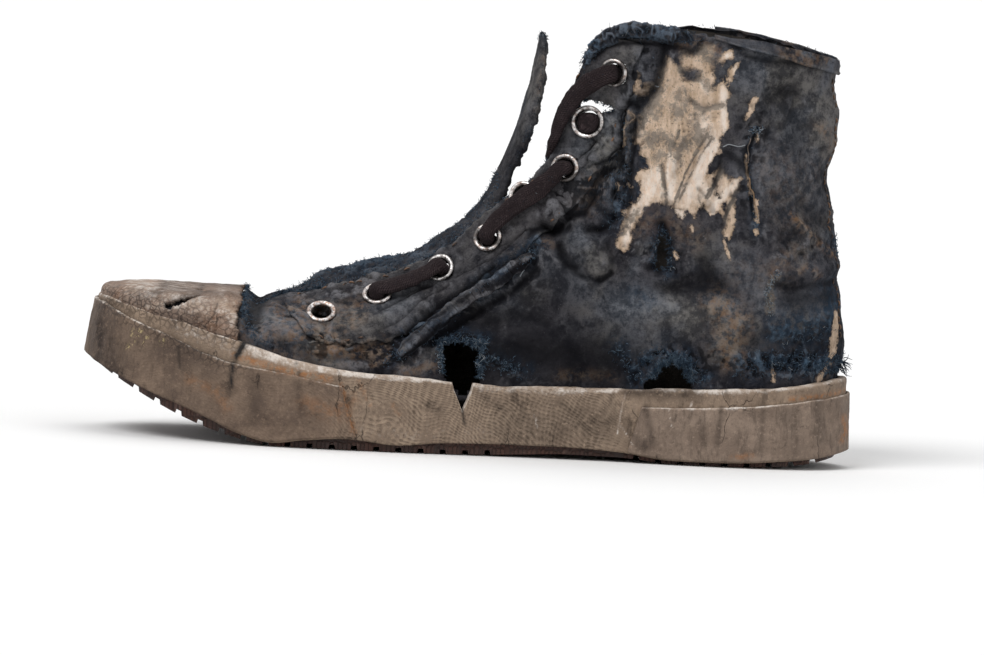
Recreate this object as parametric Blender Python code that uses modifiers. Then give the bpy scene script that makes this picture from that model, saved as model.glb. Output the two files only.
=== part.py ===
"""A worn-out high-top sneaker, left foot, standing empty on its sole.

Frame: metres, +Z up, the toe towards -X and the outer (lateral) side towards -Y. The origin is the
middle of the box round the shoe, on the floor. Tables and sizes below are in millimetres.

The upper is one wall that runs round the shoe like a ring. Ribs climb it from the sole edge: each
goes straight up inside the sidewall, then over the foot as a Bezier curve to the edge of the
opening (throat, then collar). RIBS has a row for each rib, and everything that lies on the upper
(toe cap, eyestays, eyelets, laces) is worked out from the same function, skin().
"""

import math

import bmesh
import bpy
import numpy as np
from mathutils import Matrix, Vector

MM = 0.001
GAP = 0.3  # kept between pieces that touch
CURVED_GAP = 0.5  # the same between faceted curved faces, so that their facets clear each other

# Walls and thicknesses
SIDEWALL_THICK = 3.0
STRIP_THICK = 1.2
UPPER_THICK = 2.2
TOE_CAP_THICK = 1.7
EYESTAY_THICK = 1.1
TONGUE_THICK = 2.6
INSOLE_THICK = 4.0

# How finely the ring of the upper and sidewall is cut: one step round it in ribs, and levels up a rib
RING_STEP = 0.5
WALL_LEVELS = 1
RIB_LEVELS = 8

# Side profile of the sole, toe to heel: heights of the tread's underside, the sidewall's lower
# and upper edges, the top of the outsole under the foot, and how far the sidewall leans in
SOLE_COLUMNS = ("x", "tread", "low", "high", "deck", "lean")
SOLE = (
    (-151, 30.0, 31.5, 53.0, 38.5, 3.6),
    (-144, 25.6, 27.2, 52.6, 34.8, 3.0),
    (-134, 20.6, 22.6, 50.6, 30.2, 2.0),
    (-122, 14.6, 17.6, 48.2, 25.0, 1.2),
    (-110, 9.2, 13.4, 45.4, 20.4, 0.8),
    (-98, 4.9, 8.6, 42.4, 16.9, 0.5),
    (-86, 1.8, 3.8, 39.2, 14.4, 0.3),
    (-74, 0.0, 1.4, 35.8, 12.8, 0.2),
    (-62, 0.0, 3.0, 32.8, 12.0, 0.0),
    (-45, 0.0, 4.4, 30.8, 12.0, 0.0),
    (-26, 0.0, 2.8, 29.8, 12.2, 0.0),
    (-6, 0.0, 4.5, 28.2, 12.6, 0.0),
    (14, 0.6, 4.8, 27.4, 13.2, 0.0),
    (38, 1.8, 4.8, 27.9, 13.8, 0.0),
    (60, 1.6, 3.8, 28.5, 14.2, 0.0),
    (82, 0.0, 1.4, 29.3, 14.5, 0.0),
    (104, 0.0, 1.6, 30.3, 14.8, 0.0),
    (122, 0.6, 2.8, 31.6, 15.2, 0.2),
    (137, 2.4, 4.2, 33.4, 15.8, 0.3),
    (151, 5.6, 7.4, 35.8, 16.6, 0.4),
)
TREAD_FLATS = ((-74.0, -6.0), (82.0, 104.0))  # where the tread is level, on the floor

# Ribs, toe to heel. x, outer, inner: the sole's outline on the outer and inner side. end: the rib's
# end on the edge of the opening, with half the opening's width as end_y. rise, bulge: the lower
# handle, up and outwards from the sidewall. shoulder, drop: the upper handle, out and up from the end.
RIB_COLUMNS = ("x", "outer", "inner", "end_x", "end_y", "end_z", "rise", "bulge", "shoulder", "drop")
RIBS = (
    (-148.5, 6.0, 6.0, -81.0, 0.5, 52.8, 1.8, 0.2, 44.0, 3.4),
    (-142.6, -17.0, 29.0, -80.5, 5.0, 52.8, 2.6, 0.2, 42.0, 3.4),
    (-127.0, -34.6, 43.6, -79.0, 9.5, 53.4, 5.0, 0.3, 34.0, 3.0),
    (-104.0, -45.6, 51.0, -73.0, 13.0, 56.0, 9.0, 0.4, 22.0, 0.0),
    (-76.0, -51.6, 53.0, -62.0, 16.0, 60.0, 12.0, 0.4, 13.0, -7.0),
    (-46.0, -53.0, 51.0, -46.0, 17.5, 64.6, 15.0, 0.6, 11.0, -9.0),
    (-16.0, -49.4, 44.8, -26.0, 18.5, 71.0, 21.0, 1.0, 10.0, -13.0),
    (10.0, -44.6, 38.4, -8.0, 20.0, 82.0, 28.0, 1.2, 9.0, -20.0),
    (32.0, -41.0, 35.0, 6.5, 21.5, 95.5, 35.0, 1.4, 9.0, -27.0),
    (50.0, -38.8, 34.0, 24.0, 23.0, 111.0, 41.0, 1.6, 9.0, -34.0),
    (66.0, -37.7, 34.2, 32.0, 24.5, 131.0, 46.0, 2.0, 8.0, -40.0),
    (83.0, -37.3, 35.2, 44.0, 28.0, 162.0, 46.0, 2.6, 6.0, -46.0),
    (100.0, -36.4, 35.6, 64.0, 35.5, 169.6, 44.0, 3.0, 2.0, -50.0),
    (118.0, -33.6, 33.6, 92.0, 36.5, 167.2, 40.0, 3.4, -1.0, -52.0),
    (134.0, -26.6, 26.8, 118.5, 28.5, 164.0, 34.0, 4.4, -4.0, -51.0),
    (144.8, -14.6, 14.8, 134.6, 15.5, 160.2, 27.0, 6.6, -8.0, -49.0),
    (148.5, 0.0, 0.0, 138.4, 0.0, 158.4, 24.0, 8.0, -10.0, -48.0),
)
ROWS = 2 * (len(RIBS) - 1)  # ribs round the whole ring
THROAT_SHIFT_Y = 1.0  # the throat lies a little to the inner side

# The inner flap has flopped open: by rib, how far its edge lies back, out and down
FLOP_COLUMNS = ("rib", "back", "out", "down")
INNER_FLOP = (
    (8, 4.0, 2.0, 0.0),
    (9, 13.0, 7.0, 0.5),
    (10, 23.0, 13.0, 1.5),
    (11, 20.0, 15.0, 3.0),
    (12, 10.0, 8.0, 1.5),
    (13, 3.0, 3.0, 0.0),
)

# Openings torn through the outer side, as seen from the side (x, z)
QUARTER_HOLE = ((-10.0, 43.0), (3.6, 42.0), (4.4, 33.0), (3.4, 26.0), (-5.6, 26.0), (-8.8, 34.0))
SIDEWALL_NOTCH = ((-5.8, 32.0), (3.6, 32.0), (2.0, 25.0), (-0.9, 17.2), (-4.4, 25.4))
HEEL_HOLE = ((69.6, 29.0), (74.4, 36.6), (79.5, 40.4), (84.8, 37.2), (87.0, 29.0), (80.0, 27.4))
ANKLE_SLIT = ((72.8, 90.5), (75.4, 84.0), (76.2, 76.6), (71.6, 76.0), (70.6, 82.0))
EYELET_TEAR = ((38.0, 136.4), (43.0, 138.6), (49.0, 137.6), (53.0, 135.6), (45.0, 133.6), (39.0, 133.6))
TOE_SLIT = ((-119.0, 50.6), (-112.0, 53.6), (-104.5, 54.6), (-109.0, 51.6), (-116.0, 49.4))

# Eyelets: their centres as seen from the side (x, z), from the toe up
EYELET_PLACES = (
    (-57.5, 50.4),
    (-36.2, 58.2),
    (-12.0, 70.0),
    (5.8, 83.2),
    (18.6, 100.4),
    (34.6, 112.4),
    (42.2, 130.8),
    (51.4, 150.6),
)
EYELET_HOLE_R = 3.6
EYELET_BARREL_R = 4.1
EYELET_RIM_R = 5.8
EYELET_RIM_HIGH = 0.75
EYELET_SIDES = 9

# Eyestays: strips along the throat, from just inside its edge to their stitched back edge, as seen
# from the side, from the toe up
EYESTAY_INSET = 1.2
EYESTAY_COLUMNS = ("front_x", "front_z", "back_x", "back_z")
EYESTAY = (
    (-72.0, 54.6, -64.0, 43.5),
    (-60.5, 59.0, -52.0, 40.5),
    (-46.0, 63.2, -38.0, 41.5),
    (-32.0, 67.4, -24.0, 46.0),
    (-18.0, 73.4, -8.0, 55.6),
    (-6.0, 82.4, 5.0, 66.0),
    (4.0, 92.4, 17.0, 77.0),
    (12.0, 101.6, 30.0, 90.0),
    (21.0, 110.6, 42.0, 103.0),
    (26.4, 122.0, 51.0, 117.0),
    (30.6, 134.0, 56.0, 134.0),
    (36.0, 147.0, 58.0, 148.0),
    (42.0, 158.0, 62.0, 162.0),
)

TOE_CAP_REAR_X = -89.0
TOE_CAP_RIBS = 4.0
# Where the strips end on each side, in ribs, at their top and bottom edges
TOE_BUMPER_END = (4.85, 5.15)
HEEL_STRIP_END = (10.15, 9.85)
BUMPER_TOP = ((-151, 51.6), (-145, 50.4), (-134, 46.4), (-116, 40.2), (-92, 31.6), (-69, 28.4), (-50, 25.0))
HEEL_STRIP_TOP = ((64, 21.8), (90, 22.4), (115, 24.4), (130, 26.4), (151, 29.8))

# Tread lugs: bars across the sole, between these stations
LUG_PITCH = 8.6
LUG_GROOVE = 2.6
LUG_DEPTH = 1.7
LUG_RUNS = ((-138.0, 12.0), (66.0, 142.0))

# Tongue. Under the vamp and free above the throat: its middle line (x, z), half width, fall of its
# edges and sideways shift. In the throat: by rib, how far its middle stands out above the edges.
TONGUE_COLUMNS = ("x", "z", "half", "fall", "shift")
TONGUE_BASE = (
    (-90.0, 49.8, 15.0, 2.6, 2.0),
    (-81.0, 49.6, 17.0, 3.6, 1.5),
)
TONGUE_IN_THROAT = ((3.6, 1.8), (4.3, 4.6), (5.2, 5.2), (6.1, 5.0), (7.0, 5.0), (7.9, 5.6))
TONGUE_FREE = (
    (8.4, 111.0, 17.0, 3.4, 0.5),
    (13.4, 125.0, 20.5, 4.2, 0.0),
    (18.2, 143.0, 19.5, 4.0, -1.0),
    (21.4, 163.6, 9.0, 2.0, -3.0),
)
TONGUE_LAP = 4.5  # how far it reaches under the throat's edges
TONGUE_CLEAR = 1.1
TONGUE_ACROSS = 6
TONGUE_ROWS = 19

# The rolled lower edge of the outer facing, as seen from the side
FACING_ROLL = ((-27.0, 37.4), (-18.0, 44.6), (-9.0, 52.2), (0.0, 59.6), (9.0, 66.0), (18.0, 73.6), (23.0, 78.0))
ROLL_R = 1.9

# The top lace: out of the highest outer eyelet, round the flap's front edge and up behind it into
# the next eyelet. Each row is a point with the way its flat side faces in plan.
LACE_TOP_COLUMNS = ("x", "y", "z", "face_x", "face_y")
LACE_TOP = (
    (54.0, -24.5, 150.4, 0.0, -1.0),
    (51.4, -31.5, 150.6, 0.0, -1.0),
    (49.4, -36.2, 150.3, -0.4, -0.9),
    (45.2, -36.6, 148.7, -0.4, -0.9),
    (40.4, -34.4, 145.2, -0.4, -0.9),
    (35.4, -31.6, 139.6, -0.5, -0.8),
    (31.4, -29.0, 132.8, -0.7, -0.7),
    (27.6, -25.8, 125.6, -0.9, -0.3),
    (25.0, -21.6, 118.4, -1.0, 0.2),
    (26.4, -17.2, 113.6, -0.4, 0.9),
    (32.8, -17.4, 114.8, 0.3, 1.0),
    (38.2, -18.8, 120.6, 0.3, 1.0),
    (42.2, -20.6, 127.2, 0.3, 1.0),
    (43.0, -24.8, 130.6, 0.6, 0.8),
    (42.0, -28.9, 130.8, 0.6, 0.8),
)
LACE_HALF_THICK = 1.35
LACE_FLATTEN = 2.1  # a lace is this many times as wide as it is thick
LACE_SIDES = 8
LACE_STEPS = 15
LACE_TOP_STEPS = 21
LACE_PLUNGE = 6.0  # how far an end goes in behind its eyelet
LACE_OVER = 0.7  # how near a run that crosses an eyelet comes to its middle
EYELET_LIFT = CURVED_GAP + EYESTAY_THICK + CURVED_GAP  # of the rims' undersides above the upper
LACE_LIFT = EYELET_LIFT + EYELET_RIM_HIGH + LACE_HALF_THICK + 0.1  # just clear of the rims

COLOURS = {
    "outsole": ((0.16, 0.085, 0.06), 0.75, 0.0),
    "sidewall": ((0.33, 0.27, 0.20), 0.7, 0.0),
    "toe_bumper": ((0.27, 0.21, 0.16), 0.7, 0.0),
    "heel_strip": ((0.31, 0.25, 0.19), 0.7, 0.0),
    "toe_cap": ((0.40, 0.33, 0.25), 0.65, 0.0),
    "upper": ((0.030, 0.033, 0.040), 0.92, 0.0),
    "eyestay": ((0.036, 0.036, 0.040), 0.9, 0.0),
    "facing_roll": ((0.034, 0.040, 0.050), 0.92, 0.0),
    "tongue": ((0.036, 0.038, 0.043), 0.92, 0.0),
    "insole": ((0.10, 0.085, 0.07), 0.9, 0.0),
    "eyelet": ((0.72, 0.71, 0.70), 0.25, 1.0),
    "lace": ((0.022, 0.016, 0.016), 0.9, 0.0),
}


# ---------------------------------------------------------------- tables and curves


def columns(table, names):
    """A table's columns as arrays, by name."""
    return dict(zip(names, np.array(table, float).T, strict=True))


def smooth(xs, ys, x):
    """Monotone cubic through a table's points, so that a level stretch stays level."""
    xs, ys, x = np.asarray(xs, float), np.asarray(ys, float), np.asarray(x, float)
    step = np.diff(xs)
    slope = np.diff(ys) / step
    tangent = np.zeros(len(xs))
    same = slope[:-1] * slope[1:] > 0
    mean = 2 * slope[:-1] * slope[1:] / np.where(same, slope[:-1] + slope[1:], 1)
    tangent[1:-1] = np.where(same, mean, 0)
    tangent[0], tangent[-1] = slope[0], slope[-1]
    x = np.clip(x, xs[0], xs[-1])
    i = np.clip(np.searchsorted(xs, x, "right") - 1, 0, len(xs) - 2)
    t = (x - xs[i]) / step[i]
    return (
        (2 * t**3 - 3 * t**2 + 1) * ys[i]
        + (t**3 - 2 * t**2 + t) * step[i] * tangent[i]
        + (3 * t**2 - 2 * t**3) * ys[i + 1]
        + (t**3 - t**2) * step[i] * tangent[i + 1]
    )


def loop_spline(values, u):
    """Closed, evenly stepped cubic B-spline that passes through the values, at u in rows."""
    n = len(values)
    band = 4 * np.eye(n) + np.roll(np.eye(n), 1, 0) + np.roll(np.eye(n), -1, 0)
    knots = np.linalg.solve(band / 6, np.asarray(values, float))
    u = np.asarray(u, float)
    i = np.floor(u).astype(int)
    t = u - i
    weights = ((1 - t) ** 3, 3 * t**3 - 6 * t**2 + 4, -3 * t**3 + 3 * t**2 + 3 * t + 1, t**3)
    return sum(w * knots[(i + k - 1) % n] for k, w in enumerate(weights)) / 6


SOLE_AT = columns(SOLE, SOLE_COLUMNS)


def sole_height(name, x):
    return smooth(SOLE_AT["x"], SOLE_AT[name], x)


def ring_of_ribs():
    """The ribs as closed columns: toe, outer side, heel, then the inner side back to the toe."""
    outer = columns(RIBS, RIB_COLUMNS)
    inner = {name: column.copy() for name, column in outer.items()}
    flop = columns(INNER_FLOP, FLOP_COLUMNS)
    rows = flop["rib"].astype(int)
    inner["end_x"][rows] += flop["back"]
    inner["end_y"][rows] += flop["out"]
    inner["end_z"][rows] -= flop["down"]
    back = slice(len(RIBS) - 2, 0, -1)
    ring = {name: np.concatenate([outer[name], inner[name][back]]) for name in RIB_COLUMNS}
    ring["y"] = np.concatenate([outer["outer"], inner["inner"][back]])
    ring["end_y"] = np.concatenate([-outer["end_y"], inner["end_y"][back]]) + THROAT_SHIFT_Y
    return ring


RING = ring_of_ribs()


def around(name, u):
    return loop_spline(RING[name], u)


def outward(u):
    """Plan normal of the sole's outline."""
    small = 0.02
    dx = around("x", u + small) - around("x", u - small)
    dy = around("y", u + small) - around("y", u - small)
    size = np.hypot(dx, dy)
    return dy / size, -dx / size


def wall_point(u, z, inset):
    """A point of the sidewall at height z, this far in from the sole's outline."""
    x, y = around("x", u), around("y", u)
    low, high = sole_height("low", x), sole_height("high", x)
    inset = inset + sole_height("lean", x) * (z - low) / (high - low)
    nx, ny = outward(u)
    return np.stack([x - nx * inset, y - ny * inset, z + 0 * x], -1)


UPPER_INSET = SIDEWALL_THICK + CURVED_GAP


def skin(u, v):
    """The upper's outer face. u goes round in ribs; v is -1 at the bottom, 0 at the sidewall's
    upper edge, and 1 at the edge of the opening."""
    u, v = np.broadcast_arrays(np.asarray(u, float), np.asarray(v, float))
    x = around("x", u)
    foot, top = sole_height("deck", x) + GAP, sole_height("high", x) + 1.0
    low = wall_point(u, foot + (top - foot) * np.minimum(v + 1, 1), UPPER_INSET)
    nx, ny = outward(u)
    out = np.stack([nx, ny, 0 * nx], -1)
    up = np.array([0.0, 0.0, 1.0])
    start = wall_point(u, top, UPPER_INSET)
    end = np.stack([around("end_x", u), around("end_y", u), around("end_z", u)], -1)
    handle_low = start + around("rise", u)[..., None] * up + around("bulge", u)[..., None] * out
    handle_high = end + around("shoulder", u)[..., None] * out + around("drop", u)[..., None] * up
    t = np.clip(v, 0, 1)[..., None]
    high = (
        (1 - t) ** 3 * start
        + 3 * (1 - t) ** 2 * t * handle_low
        + 3 * (1 - t) * t**2 * handle_high
        + t**3 * end
    )
    return np.where(v[..., None] < 0, low, high)


def skin_normal(u, v):
    """Unit normal of the upper, out of the shoe."""
    du, dv = 0.02, 0.01
    v = np.clip(v, -1 + dv, 1 - dv)
    along = skin(u + du, v) - skin(u - du, v)
    climb = skin(u, v + dv) - skin(u, v - dv)
    normal = np.cross(along, climb)
    return normal / np.linalg.norm(normal, axis=-1, keepdims=True)


def over_skin(u, v, height):
    """A point this far above the upper's outer face."""
    return skin(u, v) + np.asarray(height)[..., None] * skin_normal(u, v)


def v_from_edge(u, distance):
    """Where a rib is this far from the edge of the opening, measured along it."""
    levels = np.linspace(1, 0, 201)
    line = skin(np.full(levels.shape, float(u)), levels)
    run = np.concatenate([[0], np.cumsum(np.linalg.norm(np.diff(line, axis=0), axis=1))])
    return np.interp(distance, run, levels)


def find_on_skin(x, z):
    """(u, v) of the point of the outer side that lies at x, z as seen from the side."""
    low_u, high_u, low_v, high_v = 2.6, 13.4, -0.6, 1.0
    for _ in range(4):
        us, vs = np.meshgrid(np.linspace(low_u, high_u, 61), np.linspace(low_v, high_v, 61))
        points = skin(us, vs)
        miss = np.hypot(points[..., 0] - x, points[..., 2] - z)
        i = np.unravel_index(miss.argmin(), miss.shape)
        u, v = us[i], vs[i]
        ru, rv = (high_u - low_u) / 20, (high_v - low_v) / 20
        low_u, high_u, low_v, high_v = u - ru, u + ru, v - rv, min(v + rv, 1.0)
    return u, v


# ---------------------------------------------------------------- objects


def clear_scene():
    for obj in list(bpy.data.objects):
        bpy.data.objects.remove(obj)


def collection(name):
    made = bpy.data.collections.new(name)
    bpy.context.scene.collection.children.link(made)
    return made


def material(name):
    made = bpy.data.materials.get(name)
    if made is None:
        made = bpy.data.materials.new(name)
        made.use_nodes = True
        colour, roughness, metallic = COLOURS[name]
        shader = made.node_tree.nodes["Principled BSDF"]
        shader.inputs["Base Color"].default_value = (*colour, 1)
        shader.inputs["Roughness"].default_value = roughness
        shader.inputs["Metallic"].default_value = metallic
    return made


def add_mesh(name, points, faces, finish, group):
    """A mesh object from points in millimetres."""
    data = bpy.data.meshes.new(name)
    data.from_pydata((np.asarray(points, float) * MM).tolist(), [], faces)
    data.validate()
    data.shade_smooth()
    obj = bpy.data.objects.new(name, data)
    group.objects.link(obj)
    if finish:
        data.materials.append(material(finish))
    return obj


def grid_faces(across, along, closed=False):
    """Quads of a grid of points stored row by row, each row this many points along."""
    return [
        (i * along + j, (i + 1) * along + j, (i + 1) * along + (j + 1) % along, i * along + (j + 1) % along)
        for i in range(across - 1)
        for j in range(along if closed else along - 1)
    ]


def add_loft(name, sections, finish, group, closed=False):
    """A closed solid through sections of equal count; capped at both ends unless it is a ring."""
    sections = np.asarray(sections, float)
    rows, count, _ = sections.shape
    faces = grid_faces(rows, count, closed=True)
    if closed:
        last = (rows - 1) * count
        faces += [(last + j, last + (j + 1) % count, (j + 1) % count, j) for j in range(count)]
    else:
        faces += [tuple(range(count))[::-1], tuple((rows - 1) * count + j for j in range(count))]
    obj = add_mesh(name, sections.reshape(-1, 3), faces, finish, group)
    face_outwards(obj)
    return obj


def face_outwards(obj):
    edit = bmesh.new()
    edit.from_mesh(obj.data)
    bmesh.ops.recalc_face_normals(edit, faces=edit.faces)
    edit.to_mesh(obj.data)
    edit.free()


def thicken(obj, thickness, outwards=False):
    """Gives an open surface, whose faces point out of the shoe, its real thickness."""
    wall = obj.modifiers.new("wall", "SOLIDIFY")
    wall.thickness = thickness * MM
    wall.offset = 1.0 if outwards else -1.0
    wall.use_even_offset = True
    return wall


def cut(obj, cutter, operation="DIFFERENCE"):
    boolean = obj.modifiers.new("cut", "BOOLEAN")
    boolean.operation = operation
    boolean.object = cutter
    boolean.solver = "EXACT"


def helper(obj):
    obj.hide_render = True
    obj.display_type = "WIRE"
    return obj


def side_prism(name, outline, near, far, group):
    """A cutter with this outline as seen from the side, from y = near to y = far."""
    flat = np.array(outline, float)
    ends = [np.stack([flat[:, 0], np.full(len(flat), y), flat[:, 1]], -1) for y in (near, far)]
    return helper(add_loft(name, ends, None, group))


# ---------------------------------------------------------------- sole


def ring_stations():
    return np.arange(0, ROWS - 0.01, RING_STEP)


def wall_band(top, bottom, high, low, inner, outer):
    """Sections of a band on the sidewall, between stations along its top and bottom edges; its
    upper outer edge is eased."""
    ease = min(0.9, (outer - inner) * 0.6)
    corners = (
        (bottom, low, outer),
        (top, high - ease, outer),
        (top, high, outer - ease),
        (top, high, inner),
        (bottom, low, inner),
    )
    return np.stack([wall_point(u, level, -out) for u, level, out in corners], 1)


def make_sidewall(parts, cutters):
    """The rubber tape round the sole, torn open in a notch under the quarter's hole."""
    u = ring_stations()
    x = around("x", u)
    sections = wall_band(u, u, sole_height("high", x), sole_height("low", x), -SIDEWALL_THICK, 0.0)
    wall = add_loft("sidewall", sections, "sidewall", parts, closed=True)
    cut(wall, side_prism("notch_cutter", SIDEWALL_NOTCH, -90, -20, cutters))


def make_strip(name, first, last, top_table, parts):
    """A second tape over the sidewall, with slanted ends: the toe bumper, or the heel's strip."""
    starts, stops = min(first), max(last)
    ring = np.arange(math.ceil(max(first) / RING_STEP), min(last) / RING_STEP) * RING_STEP
    ring = ring[(ring > starts + 0.3) & (ring < stops - 0.3)]
    top, bottom = (np.concatenate([[a], ring, [b]]) for a, b in zip(first, last, strict=True))
    tops = np.array(top_table, float)
    high = np.minimum(smooth(tops[:, 0], tops[:, 1], around("x", top)), sole_height("high", around("x", top)) - 1)
    low = sole_height("low", around("x", bottom)) + 0.4
    add_loft(name, wall_band(top, bottom, high, low, CURVED_GAP, CURVED_GAP + STRIP_THICK), name, parts)


def profile_plate(name, bottom, rise, inset, finish, parts, cutters):
    """A plate from this underside to this height over the outsole's top, cut to the sole's plan."""
    u = ring_stations()
    outline = wall_point(u, sole_height("deck", around("x", u)) + rise, inset)[:, :2]
    top = deck_profile(rise)
    plan = [np.column_stack([outline, np.full(len(outline), z)]) for z in (-20, 90)]
    trim = helper(add_loft(name + "_plan", plan, None, cutters))
    side = np.concatenate([bottom, top[::-1]])
    ends = [np.stack([side[:, 0], np.full(len(side), y), side[:, 1]], -1) for y in (-80, 80)]
    plate = add_loft(name, ends, finish, parts)
    cut(plate, trim, "INTERSECT")


def tread_profile():
    """The underside, toe to heel, with a groove between each pair of lugs."""
    stops = set(np.round(SOLE_AT["x"], 3)) | {edge for flat in TREAD_FLATS for edge in flat}
    grooves = []
    for start, end in LUG_RUNS:
        grooves += [start + LUG_PITCH * i for i in range(int((end - start) / LUG_PITCH) + 1)]
    clear = [x for x in stops if all(not g - 0.8 < x < g + LUG_GROOVE + 0.8 for g in grooves)]
    points = [(x, float(sole_height("tread", x))) for x in clear]
    for g in grooves:
        for x, depth in ((g, 0), (g + 0.3, LUG_DEPTH), (g + LUG_GROOVE - 0.3, LUG_DEPTH), (g + LUG_GROOVE, 0)):
            points.append((x, float(sole_height("tread", x)) + depth))
    return np.array(sorted(points))


def deck_profile(raise_by):
    xs = SOLE_AT["x"]
    return np.column_stack([xs, sole_height("deck", xs) + raise_by])


def make_outsole(parts, cutters):
    profile_plate("outsole", tread_profile(), 0, UPPER_INSET, "outsole", parts, cutters)


def make_insole(parts, cutters):
    inset = UPPER_INSET + UPPER_THICK + 0.8
    profile_plate("insole", deck_profile(GAP), GAP + INSOLE_THICK, inset, "insole", parts, cutters)


# ---------------------------------------------------------------- upper and what lies on it


def skin_patch(name, stations, levels, height, finish, group, closed=False):
    """An open sheet parallel to the upper: levels holds a row of v for each station."""
    us = np.repeat(np.asarray(stations, float)[:, None], levels.shape[1], 1)
    points = over_skin(us, levels, np.full(us.shape, height))
    faces = grid_faces(*us.shape)
    if closed:
        n, m = us.shape
        faces += [((n - 1) * m + j, j, j + 1, (n - 1) * m + j + 1) for j in range(m - 1)]
    return add_mesh(name, points.reshape(-1, 3), faces, finish, group)


def make_upper(parts, cutters, eyelet_frames):
    """One wall round the foot and ankle, open at the throat, collar and underneath."""
    u = ring_stations()
    levels = np.concatenate([np.linspace(-1, 0, WALL_LEVELS + 1)[:-1], np.linspace(0, 1, RIB_LEVELS + 1)])
    upper = skin_patch("upper", u, np.tile(levels, (len(u), 1)), 0.0, "upper", parts, closed=True)
    thicken(upper, UPPER_THICK)
    for name, outline in (
        ("quarter_hole_cutter", QUARTER_HOLE),
        ("heel_hole_cutter", HEEL_HOLE),
        ("ankle_slit_cutter", ANKLE_SLIT),
        ("eyelet_tear_cutter", EYELET_TEAR),
    ):
        cut(upper, side_prism(name, outline, -90, -12, cutters))
    cut(upper, eyelet_cutter("upper_eyelet_cutter", eyelet_frames, cutters))


def make_toe_cap(parts, cutters):
    """The rubber cap over the toes, above the sidewall, with a split in its outer side."""
    u = np.arange(-TOE_CAP_RIBS, TOE_CAP_RIBS + 0.01, RING_STEP)
    rows = np.linspace(0, 1, RIB_LEVELS + 1)
    rows[0] = 0.03
    cap = skin_patch("toe_cap", u, np.tile(rows, (len(u), 1)), GAP, "toe_cap", parts)
    trim_behind(cap, TOE_CAP_REAR_X)
    thicken(cap, TOE_CAP_THICK, outwards=True)
    cut(cap, side_prism("toe_slit_cutter", TOE_SLIT, -60, -14, cutters))


def trim_behind(obj, x):
    """Cuts away the part of an open sheet that lies behind the plane at x."""
    edit = bmesh.new()
    edit.from_mesh(obj.data)
    everything = edit.verts[:] + edit.edges[:] + edit.faces[:]
    bmesh.ops.bisect_plane(edit, geom=everything, plane_co=(x * MM, 0, 0), plane_no=(1, 0, 0), clear_outer=True)
    edit.to_mesh(obj.data)
    edit.free()


def eyestay_grid():
    """(u, v) of the outer eyestay, row by row from the toe up, from its back to its front edge."""
    at = columns(EYESTAY, EYESTAY_COLUMNS)
    front = np.array([find_on_skin(x, z) for x, z in zip(at["front_x"], at["front_z"], strict=True)])
    back = np.array([find_on_skin(x, z) for x, z in zip(at["back_x"], at["back_z"], strict=True)])
    front[:, 1] = [min(v, v_from_edge(u, EYESTAY_INSET)) for u, v in front]
    rows = np.linspace(0, len(EYESTAY) - 1, 21)
    front, back = (
        np.stack([smooth(range(len(EYESTAY)), line[:, k], rows) for k in (0, 1)], -1)
        for line in (front, back)
    )
    across = np.linspace(0, 1, 5)[:, None]
    return np.array([b + (f - b) * across for f, b in zip(front, back, strict=True)])


def make_eyestay(name, grid, parts, cutters, eyelet_frames):
    """The facing that carries the eyelets, along one side of the throat."""
    points = over_skin(grid[..., 0], grid[..., 1], np.full(grid.shape[:2], CURVED_GAP))
    stay = add_mesh(name, points.reshape(-1, 3), grid_faces(*grid.shape[:2]), "eyestay", parts)
    thicken(stay, EYESTAY_THICK, outwards=True)
    cut(stay, eyelet_cutter(name + "_cutter", eyelet_frames, cutters))
    return stay


def to_inner_side(places):
    """The same places on the inner side, whose flap has the same length along each rib."""
    inner = np.array(places, float)
    inner[..., 0] = ROWS - inner[..., 0]
    return inner


def frame_on_skin(u, v, height):
    """Placement of a piece that sits this high on the upper, with its Z axis out of the shoe."""
    at = over_skin(np.array(u), np.array(v), np.array(height))
    turn = Vector(skin_normal(np.array(u), np.array(v))).to_track_quat("Z", "Y")
    return Matrix.Translation(Vector(at) * MM) @ turn.to_matrix().to_4x4()


def eyelet_frames_of(places):
    return [frame_on_skin(u, v, EYELET_LIFT) for u, v in places]


def eyelet_cutter(name, frames, cutters):
    """The eyelets' holes, as short bars on their axes."""
    edit = bmesh.new()
    for frame in frames:
        bmesh.ops.create_cone(
            edit,
            cap_ends=True,
            segments=EYELET_SIDES + 1,
            radius1=(EYELET_BARREL_R + GAP) * MM,
            radius2=(EYELET_BARREL_R + GAP) * MM,
            depth=16 * MM,
            matrix=frame,
        )
    data = bpy.data.meshes.new(name)
    edit.to_mesh(data)
    edit.free()
    obj = bpy.data.objects.new(name, data)
    cutters.objects.link(obj)
    return helper(obj)


def make_eyelets(side, frames, parts):
    """Pressed metal rings: a barrel through the wall with a rim that is proud of the eyestay."""
    barrel = -(UPPER_THICK + EYESTAY_THICK + 2 * GAP + 0.9)
    profile = (
        (EYELET_HOLE_R, barrel),
        (EYELET_HOLE_R, EYELET_RIM_HIGH),
        (EYELET_RIM_R - 0.8, EYELET_RIM_HIGH),
        (EYELET_RIM_R, 0.05),
        (EYELET_BARREL_R, 0.0),
        (EYELET_BARREL_R, barrel),
    )
    angles = np.arange(EYELET_SIDES) * 2 * math.pi / EYELET_SIDES
    rings = [[(r * math.cos(a), r * math.sin(a), z) for r, z in profile] for a in angles]
    for number, frame in enumerate(frames, 1):
        ring = add_loft(f"eyelet_{side}_{number}", rings, "eyelet", parts, closed=True)
        ring.matrix_world = frame


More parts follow.
